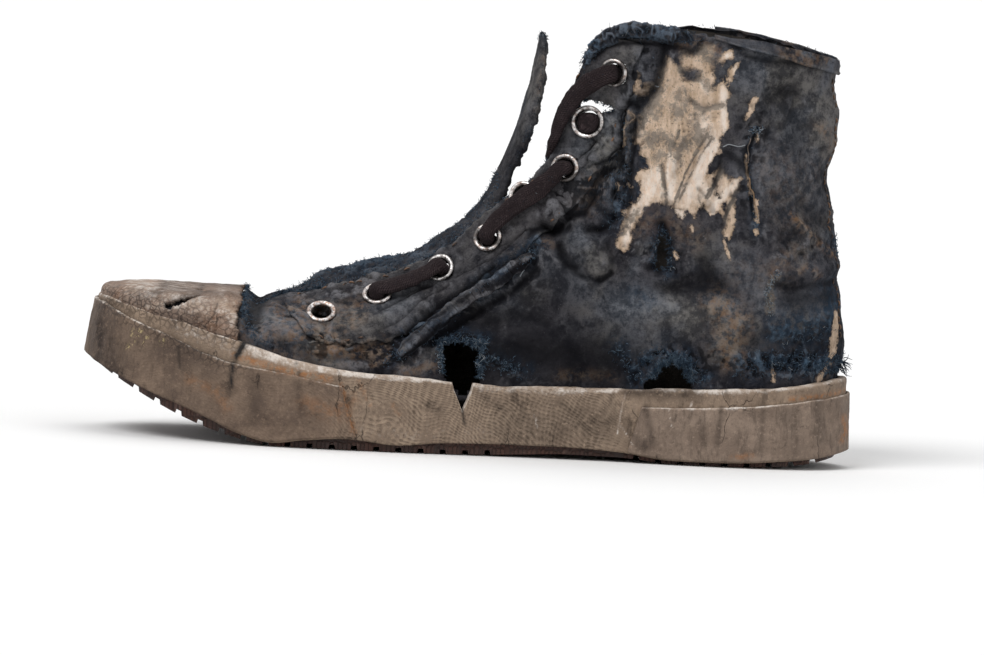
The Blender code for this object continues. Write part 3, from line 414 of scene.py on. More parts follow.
# Soft stains of the cloth, with painted light among them (shade rows, and highlights on some fold ridges):
# strength, half width, line
# Dust; the rows on the fold ridges near (50, 123) and (39, 87) are painted highlights
OUTER_DUST_AND_HIGHLIGHT = (
    (0.74, 19, 110, 155, 124, 146, 131, 128),
    (0.55, 17, 114, 118, 126, 108),
    (0.4, 10, 92, 165, 102, 150),
    (0.5, 8, 58, 158, 60, 146, 58, 136),
    (1, 8.5, 46, 106, 50, 118, 49, 132),
    (1, 7.5, 96, 62, 103, 55, 101, 46),
    (0.6, 1.4, 50.6, 123.3, 48.4, 120.8, 45, 117.3),
    (1, 8, -82, 48, -68, 46, -54, 38),
    (0.6, 7, -58, 50, -40, 50, -24, 58),
    (0.5, 9, 122, 58, 134, 62),
    (0.45, 9, 128, 84, 138, 94),
    (0.35, 7, 36, 118, 46, 146),
    (0.95, 8, 58, 60, 72, 61, 86, 58),
    (0.5, 10, 44, 68, 56, 52, 70, 50),
    (0.75, 6, 39, 87, 43, 83, 46, 78, 49, 75),
    (0.5, 10, 92, 82, 104, 78, 112, 70),
    (0.4, 12, 120, 112, 126, 132, 132, 148),
    (0.95, 2.4, 118, 73, 116, 68),
    (1, 2.8, 116, 66, 117, 61),
    (0.9, 5, 40, 120, 46, 128, 52, 124),
    (0.15, 8, -30, 58, -4, 74, 14, 92),
    (0.5, 4, 0, 58.5, 12, 66.5, 22, 77),
    (0.35, 8, 12, 60, 24, 66, 30, 76),
    (0.5, 4, -22, 32, -14, 36, -9, 40),
    (0.35, 7, 108, 56, 108, 44),
    (0.5, 3, 62, 74, 66, 84),
    (0.6, 2, 112, 64, 112, 50),
)
OUTER_EARTH = (
    (0.7, 3, -76, 52, -70, 46, -60, 44, -52, 42),
    (0.5, 3.5, -66, 50, -56, 44, -46, 48, -38, 58),
    (0.85, 4.5, -68, 42, -58, 38, -48, 38),
    (0.4, 3, -62, 52, -50, 52, -40, 56),
    (0.2, 8, 112, 117, 120, 116, 118, 108),
    (0.5, 2, 131, 133, 136, 127, 137, 124),
    (0.5, 1.6, 90, 163, 92, 158, 88, 154),
    (0.9, 6, 96, 64, 104, 56, 100, 48),
    (0.8, 3.6, 100, 52, 101, 41),
    (0.55, 4, 106, 50, 105, 42),
    (0.2, 7, 104, 74, 118, 76, 126, 84),
    (0.6, 2, 76, 163, 84, 164.5, 92, 161),
    (0.95, 1.5, 123, 98.5, 131, 91, 139.5, 84),
    (0.45, 3, 116, 76, 119, 80, 124, 84),
    (0.6, 1.6, 126, 77, 130, 79, 134, 75),
    (0.6, 2.2, 36, 32.5, 46, 33.5, 57, 33),
    (0.85, 3, -53, 37, -42, 38, -33, 40),
    (0.7, 2, -36, 34, -31, 37),
    (0.5, 3, -24, 31, -14, 34),
    (0.7, 3, -74, 50, -66, 52),
    (0.5, 6, -86, 44, -76, 42, -70, 36),
    (0.5, 5, 46, 108, 44, 100),
    (0.15, 9, 118, 110, 122, 100, 128, 116),
    (0.6, 1.8, 142, 40, 137, 34),
    (0.55, 2, 28, 84, 30, 82),
    (0.35, 5, 63, 92, 72, 95, 86, 88),
)
OUTER_BLUE = (
    (0.8, 2.4, -26.6, 45.2, -17.4, 51, -8.2, 55.8, 2, 65.7, 11.2, 73, 22.8, 83),
    (1, 3.5, -11, 45, -4, 47, 6, 45),
    (1, 4, 66, 30, 67, 38, 74, 43, 84, 42, 92, 34),
    (0.9, 4, 58, 45, 63, 38, 66, 32),
    (1, 6, 108, 40, 120, 42, 134, 42, 142, 40),
    (1, 9, 120, 54, 136, 56, 142, 66),
    (0.8, 4, 6, 40, 14, 38, 24, 34),
    (0.9, 3, -30, 36, -24, 42, -15, 49, -4, 58),
    (0.8, 3, 2, 62, 14, 71, 26, 84),
    (0.7, 5, 52, 112, 56, 102, 54, 94),
    (0.7, 2, 105, 128, 105, 118, 107, 106, 109, 92),
    (0.45, 3, -90, 54, -87, 47, -82, 40, -76, 36),
    (0.5, 4, 66, 120, 66, 110, 62, 104),
    (0.6, 4, 64, 66, 70, 62),
    (0.6, 3, 70, 90, 70, 80, 76, 74),
    (0.6, 3, 140, 92, 139, 86),
)
# Painted shade: dark along the creases, folds, gaps and slits; the broad rows darken wider areas of the
# quarter and heel
OUTER_SHADE = (
    (0.9, 0.6, 56, 122.4, 54.7, 118.2, 51.5, 114.7, 47.5, 112.8),
    (0.85, 0.55, 52, 129.7, 51.8, 124.7, 48.7, 121.2, 43.9, 117.6, 41.2, 113.3),
    (0.8, 0.5, 54.1, 132.3, 55.1, 126.5, 54.5, 121.5),
    (0.7, 0.5, 47.7, 124.5, 44.5, 121.8, 41.8, 117.5),
    (0.6, 0.5, 50.5, 118, 47.3, 115.3, 44.1, 114.3, 40.9, 110.8),
    (0.75, 0.6, -35, 53, -22, 60.3, -8.8, 66.4, 8.3, 75.5, 20, 87),
    (0.55, 0.5, -32.6, 57, -15.4, 64.7, 1.7, 73.8, 17.3, 85.4),
    (0.6, 0.6, -34.8, 46, -27, 50.6, -19, 57.8, -8.6, 63.7),
    (1, 1.2, -24, 47.4, -15, 55.3, -5.8, 61.2, 8.5, 72.8),
    (1, 2, 22.6, 87, 28, 88.7, 33.3, 90.3, 36.5, 93.2),
    (0.5, 0.6, 33.7, 82.2, 37.3, 77, 41, 71.8, 51, 64.2, 52.4, 61.5),
    (0.8, 1.3, 93.8, 120.6, 93.3, 114.8, 91.6, 109),
    (0.7, 0.8, 85.7, 107.7, 88.8, 104.6),
    (0.85, 14, 4, 38, 24, 42, 54, 38),
    (0.4, 9, 118, 50, 136, 50),
    (0.7, 0.9, 59.6, 133, 60.2, 123, 58.8, 112, 57.4, 106),
    (0.5, 0.8, 95, 118.6, 92.5, 111.5, 89.8, 106),
    (0.45, 0.8, 71.4, 115.6, 72.9, 108, 74.4, 101.6),
    (0.5, 0.7, 102.3, 109.8, 98.2, 102, 95.7, 93),
    (0.45, 1.4, 84, 134, 79, 124, 76, 112),
    (0.4, 1, 90, 130, 86.6, 122, 82.4, 112, 79, 103),
    (0.4, 14, 6, 62, 22, 66, 34, 60),
    (0.2, 10, 86, 36, 112, 50, 136, 48),
    (0.95, 2, -14, 45, 0, 54.5, 15, 63.5, 25, 73),
    (0.9, 1.2, -24, 46.5, -10, 57, 6, 67.5, 21, 79),
    (1, 3, 26.6, 89.6, 30, 87.4, 33.2, 88.4, 36.8, 89.4),
    (0.95, 1.2, 35, 95, 38.6, 94.4, 41.8, 95, 43.5, 98, 45.4, 101.6),
    (0.9, 1.5, 52, 95, 53.8, 94.6, 51.6, 91, 48.4, 89.3, 44, 88.7),
    (0.9, 1.8, 33, 82, 34.4, 78, 36.6, 75.2, 39.6, 74.2),
    (0.85, 1, 48.5, 70.2, 51.2, 70.4, 54, 73),
    (0.6, 1, 51.8, 82.3, 53.5, 79.4, 54, 76.4),
    (0.7, 0.9, 45.8, 124.8, 43.6, 120.2, 41.3, 118.6, 39.4, 115.5),
    (0.95, 1, 54.3, 123, 52.6, 120, 50, 117, 45.7, 115),
    (0.9, 0.9, 53.6, 132, 55, 128.9, 55.2, 123.6, 54.3, 121.7),
    (1, 1.4, 53, 113.6, 50, 112.5, 48.4, 110),
    (1, 1, 53.4, 105, 53.6, 101.7),
    (0.85, 0.9, 44, 134.2, 47.7, 134, 51.8, 135.4),
    (0.45, 3, 33.4, 122.4, 37.6, 121.7, 41.7, 122.5),
    (1, 2, 57.3, 139.2, 59.4, 138.7, 60.6, 137.6),
    (0.8, 1.2, 74, 162.6, 80, 160.4, 84, 162),
    (0.7, 4, 2, 50, 16, 56, 30, 52),
    (1, 2.2, 72.5, 93, 75, 86, 75, 80, 72, 75),
    (0.9, 1.3, 145.4, 60, 145.6, 50),
    (0.5, 2.6, 90, 78, 92, 70),
    (0.5, 3, 74, 68, 88, 70),
    (1, 0.9, 108, 132, 105.6, 125, 105, 115, 106.6, 106, 108, 98),
    (0.8, 2, 96, 122, 101, 119, 104, 116),
    (0.8, 1.2, 37, 105, 42, 102.4, 48, 98, 52, 94),
    (1, 1.2, 44, 155.5, 48, 160, 54, 162.4, 61, 162.6, 68, 162.6, 74, 161.6),
    (0.8, 1.2, 96, 164.6, 101, 160, 108, 158.4, 119, 157.8, 137, 155.4),
    (0.8, 2, 70, 165, 69, 153, 67, 145, 62, 139),
    (0.6, 3, 112, 143, 118, 147, 122, 145),
    (0.6, 3, 58, 36, 62, 31),
    (0.6, 3, -72, 40, -64, 38, -60, 34),
    (0.6, 4, 124, 66, 138, 67),
)
INNER_BARE = (
    (
        (70, 150), (73, 153), (75, 149), (79, 151), (82, 146), (84, 141), (88, 138), (86, 133),
        (88, 127), (85, 121), (86, 117), (83, 113), (81, 117), (78, 112), (76, 115), (74, 111),
        (71, 117), (73, 123), (69, 126), (71, 133), (67, 138), (69, 144),
    ),
    (
        (98, 113), (100, 116), (103, 115), (106, 119), (107, 113), (110, 109), (107, 106), (106, 101),
        (103, 103), (101, 99), (100, 105), (97, 108),
    ),
    (
        (59, 88), (62, 91), (65, 90), (68, 93), (70, 89), (73, 88), (71, 84), (68, 85), (67, 81),
        (64, 83), (62, 80), (61, 84),
    ),
    (
        (109, 71), (112, 73), (114, 71), (118, 75), (119, 71), (121, 69), (119, 66), (116, 67),
        (114, 63), (112, 66), (110, 66),
    ),
)
INNER_BARE_STROKES = (
    (0.9, 94, 138, 97, 146),
    (0.7, 112, 130, 116, 138),
    (0.6, 92, 92, 96, 84),
)
INNER_DUST = (
    (0.7, 10, 40, 60, 60, 56, 86, 60),
    (0.5, 10, 100, 80, 118, 84),
    (0.5, 9, -30, 52, -6, 62, 12, 76),
    (0.4, 12, 108, 140, 124, 120),
)
INNER_EARTH = (
    (0.7, 6, 66, 50, 74, 44, 72, 38),
    (0.5, 7, 108, 60, 122, 54),
    (0.6, 4, -60, 42, -44, 40, -30, 42),
    (0.5, 6, 20, 44, 40, 40),
)
INNER_BLUE = (
    (0.9, 5, 96, 40, 112, 42, 130, 42),
    (0.8, 4, 0, 40, 14, 38, 30, 36),
    (0.7, 5, 48, 100, 56, 92, 66, 94),
    (0.9, 4, -90, 52, -84, 46, -76, 40),
)
# Painted shade along the inner side's creases
INNER_SHADE = (
    (0.8, 2.2, 30, 72, 42, 84, 58, 92),
    (0.6, 2, 60, 138, 64, 122, 60, 104),
    (0.6, 2.2, 96, 84, 108, 74, 122, 72),
)
# Matted, fuzzy cloth: strength, half width, line
FACING_FUZZ = (
    (0.9, 1.6, -26, 46, -17.4, 52, -8, 57.6, 2.4, 66.6, 11.6, 74, 23, 84.4),
    (0.7, 1.4, 54.6, 136, 55.6, 128, 54.6, 121, 51, 113),
    (0.5, 1.6, 44, 158, 52, 160.4, 60, 160),
)
OUTER_FUZZ = (
    (1, 2.6, -12, 44, -4, 46, 6, 44),
    (1, 3, 64, 31, 66, 38, 73, 43, 84, 42, 92, 34),
    (0.9, 3, 58, 44, 62, 38, 65, 32),
    (1, 5, 108, 39, 120, 41, 134, 41, 142, 40),
    (0.5, 6, 122, 52, 136, 54),
    (1, 3, 7, 38, 13, 36, 20, 33),
    (0.9, 2.4, -31, 35, -26, 40, -17, 47, -6, 56),
    (0.8, 2, 2, 61, 14, 70, 26, 83),
    (1, 2.4, -26, 37.5, -22, 41.5, -17, 44.5),
    (0.9, 4, 54, 112, 56, 103, 54, 95),
    (0.8, 2, 57, 130, 58.5, 120, 57, 110),
    (0.9, 1.1, 105, 129, 105, 118, 107, 106, 109, 94),
    (1, 2.6, -88, 55, -86, 48, -82, 41, -77, 37),
    (0.5, 2, 70, 90, 70, 80, 76, 74),
    (0.6, 2, 142, 92, 141, 85),
    (0.5, 1.6, 66, 158, 68, 146),
)
INNER_FUZZ = (
    (1, 4, 96, 40, 112, 42, 130, 42),
    (0.7, 3, 0, 40, 14, 38, 30, 36),
    (0.7, 3, 48, 100, 56, 92, 66, 94),
    (1, 3, -88, 52, -84, 46, -78, 40),
    (0.6, 3, 60, 138, 64, 122),
)



# ---------------------------------------------------------------- curves and the upper's surface


def columns(table, names):
    """A table's columns, by name."""
    return dict(zip(names, np.array(table, float).T, strict=True))


def smooth(xs, ys, x):
    """Monotone cubic through a table's points."""
    xs, ys, x = np.asarray(xs, float), np.asarray(ys, float), np.asarray(x, float)
    step = np.diff(xs)
    slope = np.diff(ys) / step
    tangent = np.zeros(len(xs))
    same = slope[:-1] * slope[1:] > 0
    mean = 2 * slope[:-1] * slope[1:] / np.where(same, slope[:-1] + slope[1:], 1)
    tangent[1:-1] = np.where(same, mean, 0)
    tangent[0], tangent[-1] = slope[0], slope[-1]
    x = np.clip(x, xs[0], xs[-1])
    i = np.clip(np.searchsorted(xs, x, "right") - 1, 0, len(xs) - 2)
    t = (x - xs[i]) / step[i]
    return (
        (2 * t**3 - 3 * t**2 + 1) * ys[i]
        + (t**3 - 2 * t**2 + t) * step[i] * tangent[i]
        + (3 * t**2 - 2 * t**3) * ys[i + 1]
        + (t**3 - t**2) * step[i] * tangent[i + 1]
    )


def smooth_path(points, count):
    """A smooth line of this many points through a few."""
    points = np.asarray(points, float)
    steps = np.linspace(0, len(points) - 1, count)
    return np.stack([smooth(range(len(points)), column, steps) for column in points.T], -1)


def loop_spline(values, u):
    """Closed, evenly stepped cubic B-spline through the values, at u in rows."""
    n = len(values)
    band = 4 * np.eye(n) + np.roll(np.eye(n), 1, 0) + np.roll(np.eye(n), -1, 0)
    knots = np.linalg.solve(band / 6, np.asarray(values, float))
    u = np.asarray(u, float)
    i = np.floor(u).astype(int)
    t = u - i
    weights = ((1 - t) ** 3, 3 * t**3 - 6 * t**2 + 4, -3 * t**3 + 3 * t**2 + 3 * t + 1, t**3)
    return sum(w * knots[(i + k - 1) % n] for k, w in enumerate(weights)) / 6


SOLE_AT = columns(SOLE, SOLE_COLUMNS)


def sole_height(name, x):
    return smooth(SOLE_AT["x"], SOLE_AT[name], x)


def ring_of_ribs():
    """The ribs as closed columns: toe, outer side, heel, then the inner side back to the toe."""
    outer = columns(RIBS, RIB_COLUMNS)
    inner = {name: column.copy() for name, column in outer.items()}
    flop = columns(INNER_FLOP, FLOP_COLUMNS)
    rows = flop["rib"].astype(int)
    inner["end_x"][rows] += flop["back"]
    inner["end_y"][rows] += flop["out"]
    inner["end_z"][rows] -= flop["down"]
    back = slice(len(RIBS) - 2, 0, -1)
    ring = {name: np.concatenate([outer[name], inner[name][back]]) for name in RIB_COLUMNS}
    ring["y"] = np.concatenate([outer["outer"], inner["inner"][back]])
    ring["end_y"] = np.concatenate([-outer["end_y"], inner["end_y"][back]]) + THROAT_SHIFT_Y
    return ring


RING = ring_of_ribs()
SKIN_STEP_U = 0.02  # small steps along and up the upper, for its normals
SKIN_STEP_V = 0.01


def around(name, u):
    return loop_spline(RING[name], u)


def outward(u):
    """Plan normal of the sole's outline."""
    small = SKIN_STEP_U
    dx = around("x", u + small) - around("x", u - small)
    dy = around("y", u + small) - around("y", u - small)
    size = np.hypot(dx, dy)
    return dy / size, -dx / size


def wall_point(u, z, inset):
    """A point of the sidewall at height z, this far in from the sole's outline."""
    x, y = around("x", u), around("y", u)
    low, high = sole_height("low", x), sole_height("high", x)
    inset = inset + sole_height("lean", x) * (z - low) / (high - low)
    nx, ny = outward(u)
    return np.stack([x - nx * inset, y - ny * inset, z + 0 * x], -1)


def skin(u, v):
    """The upper's plain outer face: v is -1 at the bottom, 0 at the sidewall's upper edge, 1 at
    the edge of the opening."""
    u, v = np.broadcast_arrays(np.asarray(u, float), np.asarray(v, float))
    x = around("x", u)
    foot, top = sole_height("deck", x) + GAP, sole_height("high", x) + 1.0
    low = wall_point(u, foot + (top - foot) * np.minimum(v + 1, 1), UPPER_INSET)
    nx, ny = outward(u)
    out = np.stack([nx, ny, 0 * nx], -1)
    up = np.array([0.0, 0.0, 1.0])
    start = wall_point(u, top, UPPER_INSET)
    end = np.stack([around("end_x", u), around("end_y", u), around("end_z", u)], -1)
    handle_low = start + around("rise", u)[..., None] * up + around("bulge", u)[..., None] * out
    handle_high = end + around("shoulder", u)[..., None] * out + around("drop", u)[..., None] * up
    t = np.clip(v, 0, 1)[..., None]
    high = (
        (1 - t) ** 3 * start
        + 3 * (1 - t) ** 2 * t * handle_low
        + 3 * (1 - t) * t**2 * handle_high
        + t**3 * end
    )
    return np.where(v[..., None] < 0, low, high)


def skin_normal(u, v):
    """Outward normal of the upper's plain outer face."""
    du, dv = SKIN_STEP_U, SKIN_STEP_V
    v = np.clip(v, -1 + dv, 1 - dv)
    along = skin(u + du, v) - skin(u - du, v)
    climb = skin(u, v + dv) - skin(u, v - dv)
    return unit(np.cross(along, climb))


def over_skin(u, v, height):
    """A point this far above the upper's plain outer face."""
    return skin(u, v) + np.asarray(height)[..., None] * skin_normal(u, v)


def v_from_edge(u, distance):
    """Where a rib is this far from the edge of the opening, measured along it."""
    levels = np.linspace(1, 0, 201)
    line = skin(np.full(levels.shape, float(u)), levels)
    run = np.concatenate([[0], np.cumsum(np.linalg.norm(np.diff(line, axis=0), axis=1))])
    return np.interp(distance, run, levels)


SEARCH = (2.6, 13.4, -0.6, 1.0)  # the outer side's lowest and highest u, then v
SEARCH_ROUNDS = 4
SEARCH_STEPS = 61


def find_on_skin(x, z):
    """(u, v) of the point of the outer side that lies at x, z as seen from the side."""
    low_u, high_u, low_v, high_v = SEARCH
    for _ in range(SEARCH_ROUNDS):
        us, vs = np.meshgrid(
            np.linspace(low_u, high_u, SEARCH_STEPS),
            np.linspace(low_v, high_v, SEARCH_STEPS),
        )
        points = skin(us, vs)
        miss = np.hypot(points[..., 0] - x, points[..., 2] - z)
        i = np.unravel_index(miss.argmin(), miss.shape)
        u, v = us[i], vs[i]
        ru, rv = (high_u - low_u) / 20, (high_v - low_v) / 20
        low_u, high_u, low_v, high_v = u - ru, u + ru, v - rv, min(v + rv, 1.0)
    return u, v


def unit(vectors):
    """The vectors, each made one long."""
    return vectors / np.maximum(np.linalg.norm(vectors, axis=-1, keepdims=True), 1e-9)


def heading(path):
    """The direction of a path at each of its points."""
    return unit(np.gradient(path, axis=0))


def hump(distance, width):
    """1 at no distance, fading away over about this width."""
    return np.exp(-((distance / width) ** 2))


def halves(u):
    """Each side of the shoe, with the rows of u that belong to it."""
    return (("outer", u <= HEEL_RIB), ("inner", u > HEEL_RIB))


def to_inner_side(places):
    """The same places (u, v) on the inner side."""
    inner = np.array(places, float)
    inner[..., 0] = ROWS - inner[..., 0]
    return inner


# ---------------------------------------------------------------- seeded noise and hand-placed marks


CELL_PRIMES = (73856093, 19349663, 83492791)
SEED_STEP = 40503
CELL_MIX = 1274126177
LOW_32_BITS = 0xFFFFFFFF


def cell_value(cells, seed):
    """A repeatable number from -1 to 1 for each whole-numbered cell."""
    mixed = (cells * np.array(CELL_PRIMES)).sum(-1) + seed * SEED_STEP
    for shift in (13, 16):
        mixed = ((mixed ^ (mixed >> shift)) * CELL_MIX) & LOW_32_BITS
    return (mixed ^ (mixed >> 15)) / (LOW_32_BITS / 2) - 1


def noise(points, size, seed=0):
    """A smooth random field with features of this size."""
    scaled = np.asarray(points, float) / size
    cell = np.floor(scaled).astype(np.int64)
    part = scaled - cell
    part = part * part * (3 - 2 * part)
    total = 0
    for corner in np.ndindex(2, 2, 2):
        weight = np.prod(np.where(corner, part, 1 - part), -1)
        total = total + weight * cell_value(cell + corner, seed)
    return total


def rough(points, size, octaves, seed=0):
    """Noise of this size and of finer ones, each half the size and strength of the last."""
    return sum(noise(points, size / 2**k, seed + k) / 2**k for k in range(octaves))


def line_distance(at, line):
    """Distance of points (x, z) from a line, given as its points or as one row of numbers."""
    best = np.full(at.shape[:-1], 1e9)
    line = np.reshape(np.asarray(line, float), (-1, 2))
    for a, b in zip(line[:-1], line[1:], strict=True):
        run = b - a
        share = np.clip(((at - a) @ run) / (run @ run), 0, 1)
        best = np.minimum(best, np.linalg.norm(at - a - share[..., None] * run, axis=-1))
    return best


def depth_inside(at, outline):
    """How far points (x, z) lie inside a closed outline; negative outside."""
    line = np.array([*outline, outline[0]], float)
    inside = np.zeros(at.shape[:-1], bool)
    for (ax, az), (bx, bz) in zip(line[:-1], line[1:], strict=True):
        crosses = (az > at[..., 1]) != (bz > at[..., 1])
        reach = ax + (at[..., 1] - az) * (bx - ax) / (bz - az if bz != az else 1e-9)
        inside ^= crosses & (at[..., 0] < reach)
    return np.where(inside, 1, -1) * line_distance(at, line)


def creases(at, table):
    """Height of the cloth from its creases."""
    return sum(rise * hump(line_distance(at, line), width) for rise, width, *line in table)


def stroke_strength(at, table):
    """Strength, 0 to 1, of soft strokes."""
    total = np.zeros(at.shape[:-1])
    for strength, width, *line in table:
        total = np.maximum(total, strength * hump(line_distance(at, line), width))
    return total


BARE_REACH = 6.0  # a bare patch's edge fades over this far each way, and the material crisps it


def bare_cloth(at, patches, strokes, islands):
    """0.5 at a bare patch's edge, 1 well inside it."""
    depth = np.full(at.shape[:-1], -BARE_REACH)
    for outline in patches:
        depth = np.maximum(depth, depth_inside(at, outline))
    for width, *line in strokes:
        depth = np.maximum(depth, (width - line_distance(at, line)) * 1.6)
    for outline in islands:
        depth = np.minimum(depth, -depth_inside(at, outline))
    return 0.5 + np.clip(depth / BARE_REACH, -1, 1) / 2


def side_of(u):
    """The side of the shoe that these u lie on."""
    return "outer" if np.median(np.mod(u, ROWS)) < HEEL_RIB else "inner"


CREASE_TABLES = {"outer": OUTER_CREASES, "inner": INNER_CREASES}
FOLD_TABLES = {"outer": OUTER_FOLDS, "inner": INNER_FOLDS}
FUZZ_TABLES = {"outer": OUTER_FUZZ, "inner": INNER_FUZZ}
STAIN_AND_SHADE_LAYERS = ("dust_and_highlight", "earth", "blue", "shade", "veil", "clean")
OUTER_STAINS_AND_SHADE = (OUTER_DUST_AND_HIGHLIGHT, OUTER_EARTH, OUTER_BLUE, OUTER_SHADE, OUTER_VEIL, OUTER_CLEAN)
INNER_STAINS_AND_SHADE = (INNER_DUST, INNER_EARTH, INNER_BLUE, INNER_SHADE, INNER_VEIL, INNER_CLEAN)
STAIN_AND_SHADE_TABLES = {
    "outer": dict(zip(STAIN_AND_SHADE_LAYERS, OUTER_STAINS_AND_SHADE, strict=True)),
    "inner": dict(zip(STAIN_AND_SHADE_LAYERS, INNER_STAINS_AND_SHADE, strict=True)),
}
BARE_TABLES = {
    "outer": (OUTER_BARE, OUTER_BARE_STROKES, BARE_ISLANDS),
    "inner": (INNER_BARE, INNER_BARE_STROKES, ()),
}


def eyelet_spots(side):
    places = np.array([find_on_skin(x, z) for x, z in EYELET_PLACES])
    return places if side == "outer" else to_inner_side(places)


EYELETS = {side: eyelet_spots(side) for side in ("outer", "inner")}


def folds(base, crumpled):
    """Sharp little folds of matted cloth: their height, and 0.5 on plain cloth up to 1 on a ridge."""
    push = np.stack([noise(base, 13, seed) for seed in (401, 402, 403)], -1)
    wide = np.clip(1 - 1.5 * np.abs(rough(base + 5 * push, 15, 2, 405)), 0, 1) ** 3
    fine = np.clip(1 - 1.6 * np.abs(rough(base + 3 * push, 6, 2, 409)), 0, 1) ** 3
    small = np.clip(1 - 1.6 * np.abs(rough(base + 1.5 * push, 3, 2, 411)), 0, 1) ** 2
    tiny = rough(base, 2.4, 2, 413)
    height = crumpled * (1.9 * (wide - 0.3) + 1.0 * (fine - 0.3) + 0.5 * (small - 0.35)) + 0.12 * tiny
    relief = crumpled * (0.7 * (wide - 0.35) + 0.5 * (fine - 0.35) + 0.45 * (small - 0.35)) + 0.10 * tiny
    return height, 0.5 + relief


def matting(base, matted):
    """Clumps of matted fluff: their height, and the relief that they add."""
    push = np.stack([noise(base, 4, seed) for seed in (421, 422, 423)], -1)
    clump = np.clip(1 - 1.7 * np.abs(rough(base + 1.6 * push, 2.7, 2, 425)), 0, 1)
    return matted * (1.6 * clump - 0.3), matted * (1.0 * clump - 0.4)


UNDER_CAP = 1.0  # how far the cloth lies in beneath the toe cap
EYELET_PRESS = 6.5  # an eyelet presses the cloth flat over about this radius
LEVEL_FOOT = 0.08  # below this v the cloth runs smooth into the sole
EVENED_RIBS = 0.6  # the two sides' marks blend over this many ribs each way


def evened(u, side, measure):
    """A side's measure, evened with the other side's along the heel and toe lines."""
    other = "inner" if side == "outer" else "outer"
    apart = np.abs(np.mod(u + HEEL_RIB / 2, HEEL_RIB) - HEEL_RIB / 2)
    share = 0.5 * np.clip(1 - apart / EVENED_RIBS, 0, 1)
    return (1 - share) * measure(side) + share * measure(other)


def crumple(u, v, side):
    """How far the worn cloth stands out, how deep its creases are, and its fine relief."""
    base = skin(u, v)
    at = base[..., [0, 2]]
    height = evened(u, side, lambda key: creases(at, CREASE_TABLES[key]))
    trough = np.clip(-height / 2, 0, 1)
    height = height + 0.9 * rough(base, 24, 2, 3) + 0.35 * rough(base, 6, 2, 11)
    crumpled = evened(u, side, lambda key: stroke_strength(at, FOLD_TABLES[key]))
    fine, relief = folds(base, 0.3 + 0.8 * crumpled + 0.15 * noise(base, 30, 17))
    mat, mat_relief = matting(base, evened(u, side, lambda key: stroke_strength(at, FUZZ_TABLES[key])))
    height = height + fine + mat
    relief = np.clip(relief + mat_relief, 0, 1)
    for place in EYELETS[side]:
        centre = skin(*place)
        near = hump(np.linalg.norm(base - centre, axis=-1), EYELET_PRESS)
        height = height * (1 - 0.85 * near)
    under_cap = np.clip((TOE_CAP_REAR_X + 2 - base[..., 0]) / 3, 0, 1)
    height = height * (1 - under_cap) - UNDER_CAP * under_cap
    return height * np.clip(v / LEVEL_FOOT, 0, 1), trough, relief


def worn_point(u, v, side, over=0.0):
    """A point this far above the worn cloth."""
    return over_skin(u, v, crumple(u, v, side)[0] + over)


# ---------------------------------------------------------------- pieces


def add_layer(data, name, values):
    """Stores one number, or one place, for each point of a mesh."""
    values = np.asarray(values, np.float32)
    place = values.ndim > 1
    made = data.attributes.new(name, "FLOAT_VECTOR" if place else "FLOAT", "POINT")
    made.data.foreach_set("vector" if place else "value", values.ravel())


def piece(name, points, faces, finish, stands_for=(), layers=None):
    """One finished piece from points in millimetres, riding on the shoe."""
    points = np.asarray(points, float).reshape(-1, 3)
    kept = np.unique(np.concatenate([np.ravel(face) for face in faces]))
    index = np.full(len(points), -1)
    index[kept] = np.arange(len(kept))
    data = bpy.data.meshes.new(name)
    data.from_pydata((points[kept] * MM).tolist(), [], [index[list(face)].tolist() for face in faces])
    data.shade_smooth()
    for layer, values in (layers or {}).items():
        values = np.asarray(values, float)
        width = 3 if values.ndim > 1 and values.shape[-1] == 3 else 1
        add_layer(data, layer, np.squeeze(values.reshape(-1, width)[kept]))
    data.materials.append(finish)
    obj = bpy.data.objects.new(name, data)
    bpy.context.scene.collection.objects.link(obj)
    return settle(obj, stands_for)


def settle(obj, stands_for=()):
    """Puts a piece on the shoe: what it rides on, and the nodes that it replaces."""
    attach(obj, "root")
    if stands_for:
        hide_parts(*stands_for)
    return obj


def thicken(obj, thickness, outwards=False, rim_only=False):
    """Gives a piece its thickness, inwards from its face unless told otherwise."""
    bpy.ops.object.select_all(action="DESELECT")
    obj.select_set(True)
    bpy.context.view_layer.objects.active = obj
    made = obj.modifiers.new("thickness", "SOLIDIFY")
    made.thickness = thickness * MM
    made.offset = 1.0 if outwards else -1.0
    made.use_rim_only = rim_only
    bpy.ops.object.modifier_apply(modifier=made.name)
    obj.select_set(False)


def grid_faces(rows, count, closed=False):
    """Quads of a grid stored row by row; closed joins each row's end to its start."""
    i, j = np.meshgrid(np.arange(rows - 1), np.arange(count if closed else count - 1), indexing="ij")
    k = (j + 1) % count
    corners = (i * count + j, (i + 1) * count + j, (i + 1) * count + k, i * count + k)
    return np.stack(corners, -1).reshape(-1, 4)


def loft(name, sections, finish, stands_for=(), layers=None, ring=False):
    """A closed solid through sections of equal count."""
    sections = np.asarray(sections, float)
    rows, count, _ = sections.shape
    faces = grid_faces(rows, count, closed=True).tolist()
    last = (rows - 1) * count
    if ring:
        faces += [[last + j, j, (j + 1) % count, last + (j + 1) % count] for j in range(count)]
    else:
        faces += [list(range(count)), [last + j for j in range(count)][::-1]]
    obj = piece(name, sections, faces, finish, stands_for, layers)
    edit = bmesh.new()
    edit.from_mesh(obj.data)
    bmesh.ops.recalc_face_normals(edit, faces=edit.faces)
    edit.to_mesh(obj.data)
    edit.free()
    return obj


def turns(count):
    """Angles evenly round a full turn."""
    return np.arange(count) * 2 * math.pi / count


